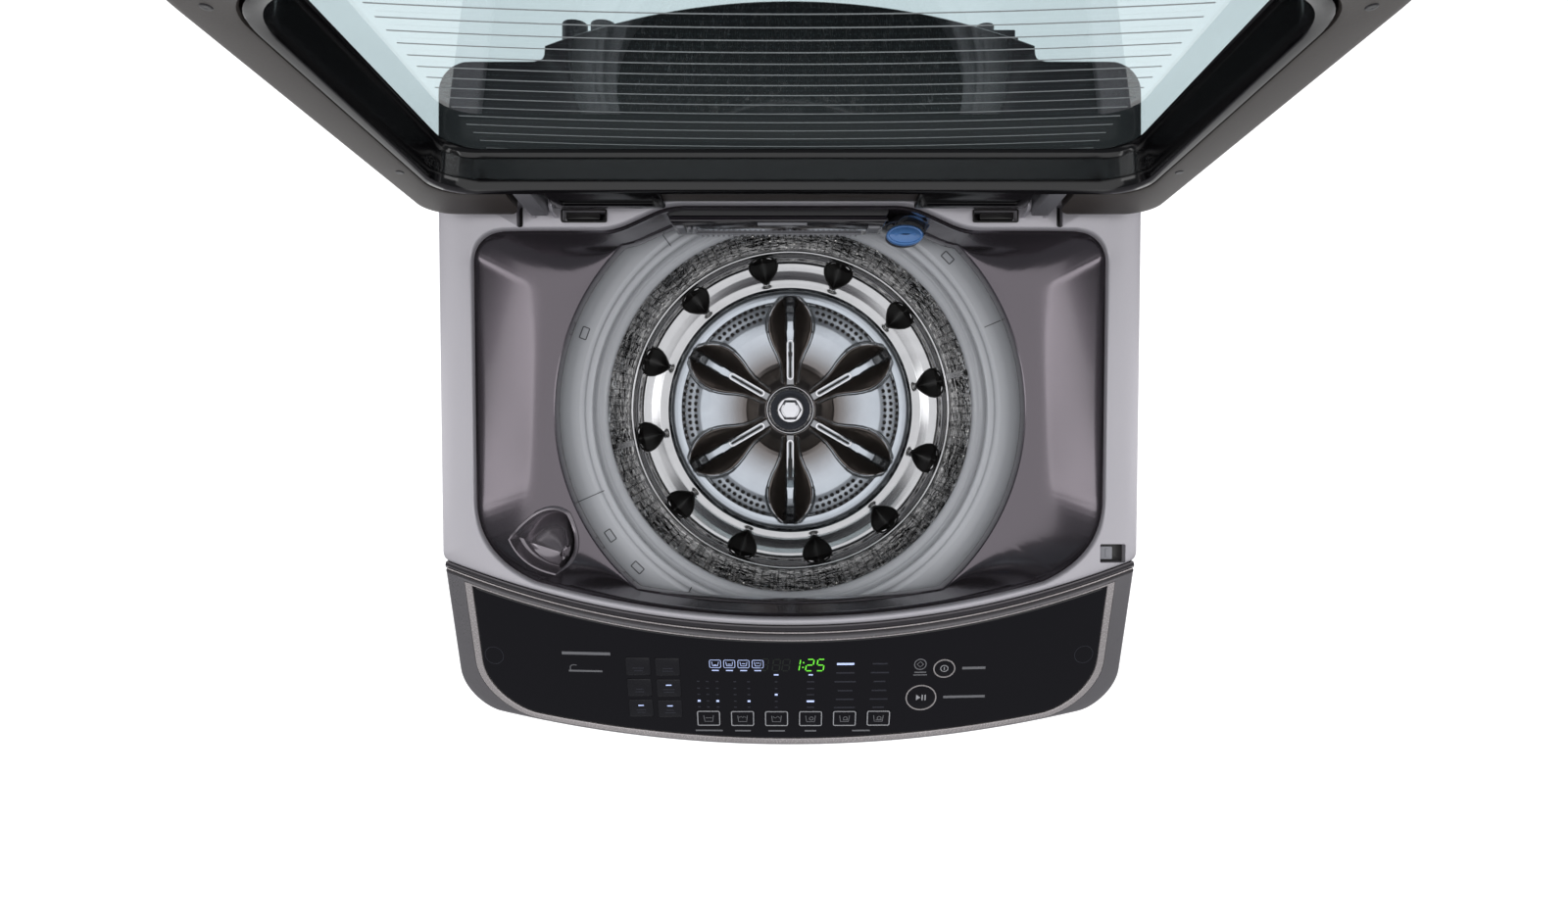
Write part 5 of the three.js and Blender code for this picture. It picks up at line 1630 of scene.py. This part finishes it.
def suspension():
    for corner in ("front_left", "front_right", "rear_right", "rear_left"):
        softened(f"suspension_rod_{corner}", f"rod_{corner}", "cabinet", ZINC, 0.3)
        low, high = span(f"suspension_spring_{corner}")
        x, y = (low[0] + high[0]) / 2, (low[1] + high[1]) / 2
        t = np.linspace(0, 1, 181)
        a = 2 * math.pi * 6.5 * t
        z = low[2] + 2.5 + (high[2] - low[2] - 5) * t
        coil = tube(np.column_stack([x + 13 * np.cos(a), y + 13 * np.sin(a), z]), 2.2, 10)
        coiled = piece(f"coil_{corner}", coil, None, ZINC, (f"suspension_spring_{corner}",))
        ends = [(x * MM, y * MM + AXIS_Y, z * MM) for z in (low[2], high[2])]
        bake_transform(coiled)


def drive():
    softened("drain_pump", "pump_body", "cabinet", DARK, 1.0)
    low, high = span("drain_hose")
    x, y = (low[0] + high[0]) / 2, (low[1] + high[1]) / 2
    outer = []
    for k in range(10):
        z = low[2] + (high[2] - low[2]) * np.array([k + 0.05, k + 0.35, k + 0.65, k + 0.95]) / 10
        outer += [(18.5, z[0]), (22.6, z[1]), (22.6, z[2]), (18.5, z[3])]
    hose = lathed([(14, low[2]), (18.5, low[2]), *outer, (18.5, high[2]), (14, high[2])], 48, x, y)
    bellows = piece("bellows_hose", hose, None, RUBBER, ("drain_hose",))
    [(x * MM, y * MM + AXIS_Y, z * MM) for z in (low[2], high[2])]
    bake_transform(bellows)
    softened("bearing_housing", "bearing_casting", "tub", CAST, 0.8)
    for node, finish in (("shaft_bearing", BEARING), ("stator", COPPER), ("spin_shaft", BEARING),
                         ("wash_shaft", BEARING), ("rotor", ZINC)):
        mesh = frame["nodes"][node].data
        mesh.materials.clear()
        mesh.materials.append(finish)


# ---- Stage ------------------------------------------------------------------------------------
def stage():
    finish = Finish("studio_floor")
    paper = finish.noise(finish.place(), 3.0, 2.0)
    white = (0.86, 0.86, 0.86, 1.0)
    finish.surface(
        Base_Color=finish.blend(paper, shaded(white, 0.98), white),
        Roughness=0.9,
        Emission_Color=(1.0, 1.0, 1.0, 1.0),
        Emission_Strength=0.8,
    )
    mesh = bpy.data.meshes.new("studio_floor")
    half = 9.0
    corners = [(-half, -half), (half, -half), (half, half), (-half, half)]
    mesh.from_pydata([(x, y, -0.0005) for x, y in corners], [], [(0, 1, 2, 3)])
    mesh.materials.append(finish.material)
    floor = bpy.data.objects.new("studio_floor", mesh)
    bpy.context.scene.collection.objects.link(floor)

    world = bpy.data.worlds.new("studio")
    world.use_nodes = True
    world.node_tree.nodes["Background"].inputs["Color"].default_value = (0.9, 0.94, 1.0, 1.0)
    world.node_tree.nodes["Background"].inputs["Strength"].default_value = 0.2
    bpy.context.scene.world = world

    for name, place, aim, size, power in (
        ("overhead", (0, 0.1, 3.1), (0, 0.1, 0), (4.0, 3.4), 44),
        ("left_bank", (-2.6, -0.3, 2.4), (0, 0, 0.9), (0.8, 2.4), 16),
        ("right_bank", (2.6, -0.3, 2.4), (0, 0, 0.9), (0.8, 2.4), 16),
        ("rear_bank", (0, 2.8, 1.9), (0, 0, 0.8), (2.6, 0.9), 7),
    ):
        light = bpy.data.lights.new(name, "AREA")
        light.shape = "RECTANGLE"
        light.size, light.size_y = size
        light.energy = power
        lamp = bpy.data.objects.new(name, light)
        lamp.location = place
        lamp.rotation_euler = (Vector(aim) - Vector(place)).to_track_quat("-Z", "Y").to_euler()
        bpy.context.scene.collection.objects.link(lamp)

    data = bpy.data.cameras.new("from_above")
    data.lens = 18.48
    data.sensor_width = 36
    data.shift_x = -0.0044
    data.shift_y = -0.0323
    data.clip_start = 0.01
    camera = bpy.data.objects.new("from_above", data)
    camera.location = (0.001, AXIS_Y, 1.695)
    bpy.context.scene.collection.objects.link(camera)
    bpy.context.scene.camera = camera
    bpy.context.scene.view_settings.view_transform = "Standard"


stage()
top_cover()
dispenser()
lid_lock()
console()
lid()
tub_ring()
weight_ring()
drum_wall()
drum_floor()
wash_plate()
hub()
cabinet()
rear_fittings()
suspension()
drive()
